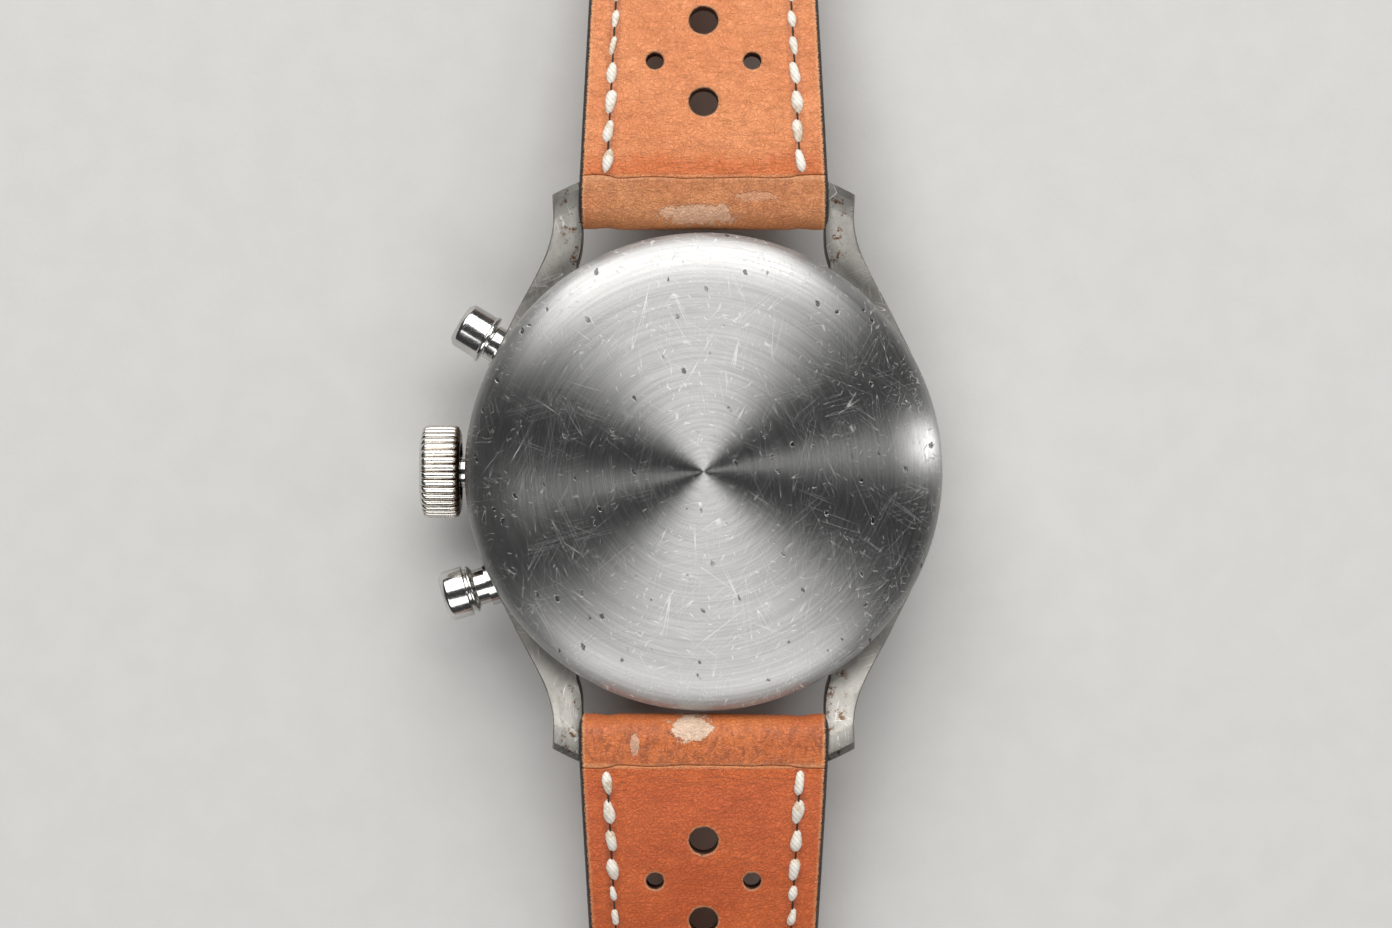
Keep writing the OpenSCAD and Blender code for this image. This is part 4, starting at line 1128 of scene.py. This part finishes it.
def make_stitches(name, sign, mid_z, pitch, last_y, tip, materials):
    """Two rows of pale stitches on the back and the front, with dark thread between each two of them."""
    shapes = {"back": [], "front": []}
    path = stitch_path(pitch, last_y, tip)
    for side in (-1, 1):
        for k, p in enumerate(path):
            after = path[k + 1] if k + 1 < len(path) else p + (p - path[k - 1])
            for face, way_up in (("back", 1), ("front", -1)):
                def skin(q):
                    return strap_mid(q.y, mid_z) + way_up * (strap_half(q.y) + hide(q.x, q.y, sign))
                step = Vector((0, 0.4))
                slope = (skin(p + step) - skin(p - step)) / (2 * step.y)
                heading = (after - p).normalized()
                way = Vector((side * heading.x, sign * heading.y, slope * heading.y))
                up = Vector((0, -sign * slope, 1)).normalized() * way_up
                start = k < 4
                length = (2.1 if start else pitch * 0.8) + RANDOM.uniform(-0.15, 0.15)
                width = (0.84 if start else 0.6) + RANDOM.uniform(-0.08, 0.08)
                centre = Vector((side * p.x + RANDOM.uniform(-0.06, 0.06), sign * p.y, skin(p)))
                lean = 0.13 * side * sign + RANDOM.uniform(-0.06, 0.06)
                shapes[face].append((stitch(centre, way, up, length, width, lean), 0))
                q = (p + after) / 2
                if k + 1 < len(path):
                    middle = Vector((side * q.x, sign * q.y, skin(q))) - up * 0.04
                    gap = (after - p).length * 0.55
                    shapes[face].append((stitch(middle, way, up, gap, 0.15, 0.0, 0.03), 1))
    for face, parts in shapes.items():
        marks = [mark for part, mark in parts for _ in part[1]]
        shape = joined(*(part for part, mark in parts))
        piece(f"stitches_{name}_{face}", shape, materials, f"strap_{name}_half", angle=60, marks=marks)


def thread_material():
    """Pale waxed thread with a twist, soiled in places."""
    g = Graph("waxed_thread", {"Sheen Weight": 0.2, "Coat Weight": 0.1})
    twist = g.math("SINE", g.mul(g.plus(g.mul(g.x, 1.1), g.y), 14.0))
    fibre = g.noise(11.0, 3.0)
    soil = g.fit(g.noise(0.7, 4.0, 0.7), 0.45, 0.7)
    shade = g.mix(soil, srgb(236, 231, 220), srgb(196, 176, 144))
    shade = g.mix(g.fit(twist, -1.0, -0.6, 0.35, 0.0), shade, srgb(150, 122, 88))
    height = g.plus(g.mul(twist, 0.3), fibre)
    return g.finish(shade, g.fit(fibre, 0.3, 0.7, 0.5, 0.7), g.bump(height, 0.03))


def keeper_shape(y, gap):
    """A leather band bent round the strap, with rounded corners and edges."""
    reach = END_W + gap + 0.5
    low_z, high_z = 0.5, BUCKLE_MID_Z + STRAP_T / 2 + gap + 0.5
    rise = Vector((0, (low_z + high_z) / 2))
    path = [p + rise for p in block(reach, (high_z - low_z) / 2, 1.1, 6)]
    section = block(0.5, 2.0, 0.22, 3)
    rings = []
    for i, p in enumerate(path):
        out = outward(path[i - 1], path[(i + 1) % len(path)])
        rings.append([Vector((p.x + out.x * a, y + b, p.y + out.y * a)) for a, b in section])
    return loft(rings, cap=False, closed=True)


def make_straps():
    make_strap_half("buckle", 1, BUCKLE_MID_Z, LINING_TOP, FOLD_TOP, BUCKLE_Y, half_width, False)
    make_strap_half("tip", -1, TIP_MID_Z, LINING_LOW, FOLD_LOW, TIP_Y, tip_width, True)
    threads = [thread_material(), plain("dark_thread", srgb(52, 32, 22), 0.7, 0.02, 9.0)]
    make_stitches("buckle", 1, BUCKLE_MID_Z, 2.2, 83.0, False, threads)
    make_stitches("tip", -1, TIP_MID_Z, 2.0, 0.0, True, threads)
    band = leather("keeper_leather", srgb(204, 132, 80), srgb(176, 100, 54), lambda g: 12.0)
    fixed, sliding = keeper_shape(86.0, 0.02), keeper_shape(76.0, 0.15)
    piece("keeper_fixed_band", fixed, band, "strap_buckle_half", ["fixed_keeper"], angle=60)
    piece("keeper_sliding_band", sliding, band, "sliding_keeper", ["sliding_keeper"], angle=60)


# ---- Buckle ----

BUCKLE_TILT = Matrix.Translation((0, BUCKLE_Y, BUCKLE_Z)) @ Matrix.Rotation(math.radians(-13), 4, "X")


def make_buckle():
    """A bent frame with rounded arms, and a tapered tongue that turns on its bar."""
    path = rounded([(-9.25, -0.9, 0), (-9.25, 9.5, 2.6), (9.25, 9.5, 2.6), (9.25, -0.9, 0)], 8)
    fine = []
    for a, b in zip(path, path[1:]):
        count = max(1, round((b - a).length / 1.2))
        fine += [a.lerp(b, k / count) for k in range(count)]
    fine.append(path[-1])
    section = [(-0.75, -1.0, 0.45), (0.75, -1.0, 0.45), (0.75, 1.0, 0.6), (-0.75, 1.0, 0.6)]
    section = rounded(section, 4, closed=True)
    rings = []
    for i, p in enumerate(fine):
        out = outward(fine[max(i - 1, 0)], fine[min(i + 1, len(fine) - 1)])
        swell = 1 + 0.12 * smooth((p.y - 5) / 4)
        low_end = swell * (1 - 0.45 * smooth((0.1 - p.y) / 1.0))
        rings.append([Vector((*(p + out * a * swell), b * low_end)) for a, b in section])
    bow = moved(loft(rings), BUCKLE_TILT)
    piece("buckle_bow", bow, POLISHED, "buckle", ["buckle_frame"], angle=40)
    tongue = []
    for y in spaced(0.2, 10.4, 24):
        w = 0.9 - 0.25 * smooth((y - 1) / 8)
        dip = -1.66 - 0.12 * math.sin(math.pi * min(y / 9.5, 1)) + 0.1 * smooth((y - 9) / 1.4)
        tall = 0.42 * (1 - 0.5 * smooth((y - 9.6) / 0.8))
        if len(tongue) == 24:
            w, tall = w * 0.5, tall * 0.5
        tongue.append([Vector((a, y, dip + b)) for a, b in block(w, tall, 0.2, 3)])
    eye = [(0.8, -0.88, 0.1), (1.5, -0.88, 0.25), (1.5, 0.88, 0.25), (0.8, 0.88, 0.1)]
    eye = lathe(rounded(eye, 4, closed=True), 40, closed=True)
    eye = moved(eye, Matrix.Rotation(math.pi / 2, 4, "Y"))
    shape = moved(joined(loft(tongue), eye), BUCKLE_TILT)
    piece("buckle_tongue_bar", shape, POLISHED, "buckle_tongue", ["buckle_tongue"], angle=40)


# ---- Dial and hands ----

SMALL_DIAL_X = 6.4


def dial_material():
    """Silvered lacquer with a printed minute track and a printed ring on each small dial."""
    g = Graph("dial_lacquer", {"Coat Weight": 0.4, "Coat Roughness": 0.15})
    r, cosine, sine = g.polar()

    def line(off, width):
        return g.fit(off, width / 2, width / 2 + 0.02, 1.0, 0.0)

    def ticks(radius, angle, count, inner, outer, width):
        step = g.mul(angle, count / (2 * math.pi))
        off = g.abs(g.less(step, g.math("ROUND", step)))
        off = g.mul(g.mul(off, 2 * math.pi / count), radius)
        past = g.fit(radius, inner - 0.01, inner + 0.01)
        band = g.mul(past, g.fit(radius, outer - 0.01, outer + 0.01, 1.0, 0.0))
        return g.mul(line(off, width), band)

    def ring(radius, at, width):
        return line(g.abs(g.less(radius, at)), width)

    turn = g.math("ARCTAN2", g.y, g.x)
    ink = g.most(ticks(r, turn, 60, 14.75, 15.3, 0.09), ticks(r, turn, 300, 14.95, 15.3, 0.05))
    ink = g.most(ink, g.most(ring(r, 15.35, 0.06), ring(r, 14.7, 0.05)))
    for x, count in ((-SMALL_DIAL_X, 30), (SMALL_DIAL_X, 60)):
        dx = g.less(g.x, x)
        away = g.hypot(dx, g.y)
        ink = g.most(ink, ticks(away, g.math("ARCTAN2", g.y, dx), count, 3.6, 4.0, 0.06))
        ink = g.most(ink, ring(away, 4.05, 0.05))
    grain = g.combine(g.mul(cosine, 26.0), g.mul(sine, 26.0), g.mul(r, 0.05))
    satin = g.noise(1.0, 2.0, 0.5, at=grain)
    shade = g.mix(g.fit(g.noise(0.25, 4.0, 0.6), 0.35, 0.75), srgb(226, 222, 210), srgb(208, 198, 176))
    g.set("Metallic", g.mul(g.less(1.0, ink), 0.45))
    shade = g.mix(ink, shade, srgb(34, 32, 34))
    return g.finish(shade, g.fit(satin, 0.3, 0.7, 0.3, 0.42), g.bump(satin, 0.002))


def numeral(text, x, y, z, size, ink):
    """A printed number on the dial, read from the front."""
    curve = bpy.data.curves.new(f"numeral_{text}", "FONT")
    curve.body = text
    curve.size = size * MM
    curve.align_x = "CENTER"
    curve.align_y = "CENTER"
    curve.extrude = 0.01 * MM
    curve.resolution_u = 3
    text_object = bpy.data.objects.new(f"numeral_{text}", curve)
    SCENE.collection.objects.link(text_object)
    evaluated = text_object.evaluated_get(bpy.context.evaluated_depsgraph_get())
    mesh = bpy.data.meshes.new_from_object(evaluated)
    bpy.data.objects.remove(text_object)
    mesh.materials.clear()
    mesh.materials.append(ink)
    solid = bpy.data.objects.new(f"dial_numeral_{text}", mesh)
    solid.rotation_euler = (0, math.pi, 0)
    solid.location = Vector((x, y, z)) * MM
    SCENE.collection.objects.link(solid)
    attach(solid, "case")


def hand_shape(x, turn, length, tail, width, hub_r, z):
    """A leaf-shaped hand with a ridge along its outer face, pointing along +Y before it is turned."""
    thick = 0.15
    rings = []
    for y in spaced(-tail, length, 28):
        if y < 0:
            w = width * (0.32 + 0.35 * (1 + y / tail))
        else:
            swell = 0.67 + 0.33 * math.sin(math.pi / 2 * min(y / (length * 0.55), 1))
            w = width * swell * (1 - smooth((y / length - 0.45) / 0.55)) + 0.09
        w = max(w, 0.09) / 2
        section = [(-w, thick), (-w, thick * 0.55), (0, 0), (w, thick * 0.55), (w, thick)]
        rings.append([Vector((a, y, z + b)) for a, b in section])
    hub = [(0.01, -0.03, 0), (hub_r * 0.85, -0.03, 0.06), (hub_r, 0.03, 0.04)]
    hub += [(hub_r, thick, 0), (0.01, thick, 0)]
    hub = rounded([(r, z + b, cut) for r, b, cut in hub], 3)
    place = Matrix.Translation((x, 0, 0)) @ Matrix.Rotation(math.radians(turn), 4, "Z")
    return moved(joined(loft(rings), lathe(hub, 48)), place)


def make_dial_and_hands():
    dress(["dial"], dial_material())
    blued = metal("blued_steel", srgb(38, 58, 130), 0.2, depth=0.0005, wear=0.08)
    ink = plain("dial_ink", srgb(30, 28, 30), 0.5, 0.001, 8.0)
    print_z = low("dial").z + 0.1
    for text, dx, y in (("10", -2.5, -1.45), ("20", 2.5, -1.45), ("30", 0, 2.75)):
        numeral(text, dx - SMALL_DIAL_X, y, print_z, 1.0, ink)
    for text, dx, y in (("60", 0, 2.75), ("15", -2.8, 0), ("45", 2.8, 0)):
        numeral(text, dx + SMALL_DIAL_X, y, print_z, 0.95, ink)
    hands = [
        ("hour_hand_leaf", "hour", "hour_hand", (0, 54, 8.4, 2.2, 1.5, 1.6, 3.45)),
        ("minute_hand_leaf", "centre", "minute_hand", (0, -62, 13, 2.6, 1.2, 1.1, 3.1)),
        ("chronograph_hand_needle", "chronograph", "chronograph_hand", (0, 0, 14, 4, 0.42, 0.7, 2.75)),
        ("seconds_hand_needle", "fourth", "small_seconds_hand",
         (SMALL_DIAL_X, 130, 3.7, 1.2, 0.4, 0.45, 3.75)),
        ("counter_hand_needle", "minute_counter", "minute_counter_hand",
         (-SMALL_DIAL_X, 0, 3.7, 1.2, 0.4, 0.45, 3.75)),
    ]
    for name, body, node, sizes in hands:
        piece(name, hand_shape(*sizes), blued, body, [node], angle=20)
    return blued


# ---- Movement ----

def striped_rhodium():
    """Plates and bridges with broad parallel stripes of fine graining."""
    g = Graph("striped_rhodium", {"Metallic": 1.0})
    stripe = g.math("FRACT", g.mul(g.plus(g.x, g.mul(g.y, 0.6)), 0.62))
    fine = g.noise(1.0, 2.0, at=g.turned(59, 14.0, 0.8))
    shade = g.mix(g.fit(stripe, 0.0, 1.0, even=False), srgb(186, 184, 178), srgb(222, 220, 214))
    height = g.plus(g.mul(stripe, 2.0), fine)
    return g.finish(shade, g.fit(fine, 0.3, 0.7, 0.2, 0.32), g.bump(height, 0.004))


def make_movement(blued):
    brass = metal("gilt_brass", BRASS, 0.24, grain_scale=9.0, wear=0.12)
    dress(["movement_ring", "barrel_drum", "centre_wheel", "third_wheel", "fourth_wheel", "balance_wheel",
           "minute_wheel", "hour_wheel", "coupling_wheel", "chronograph_runner",
           "minute_counter_wheel"], brass)
    dress(["main_plate", "barrel_bridge", "train_bridge", "pallet_bridge", "balance_cock",
           "chronograph_bridge"], striped_rhodium())
    fine_steel = metal("grained_steel", STEEL, 0.28, (1, 0.2, 1), 12.0, wear=0.12)
    dress(["winding_stem", "winding_pinion", "crown_wheel", "intermediate_wheel", "ratchet_wheel", "click",
           "mainspring", "escape_wheel", "pallet_fork", "cannon_pinion", "column_wheel", "operating_lever",
           "coupling_lever", "reset_hammer", "start_pusher_spring", "reset_pusher_spring", "spring_bars",
           "buckle_bar"], fine_steel)
    dress(["case_tubes", "dial_markers"], POLISHED)
    dress(["movement_screws", "hairspring"], blued)
    g = Graph("ruby", {"Transmission Weight": 0.6, "IOR": 1.76, "Coat Weight": 0.5})
    g.set("Base Color", g.mix(g.fit(g.noise(2.0, 3.0), 0.3, 0.7), srgb(190, 14, 60), srgb(226, 40, 92)))
    g.set("Roughness", g.fit(g.noise(6.0, 2.0), 0.3, 0.7, 0.05, 0.12))
    dress(["jewels"], g.material)
    dress(["back_gasket"], plain("gasket_rubber", srgb(38, 38, 40), 0.7, 0.01, 4.0))


add_camera()
add_stage()
make_case_back()
make_case_middle()
make_bezel()
make_crystal()
make_crown()
make_pushers()
make_straps()
make_buckle()
make_movement(make_dial_and_hands())
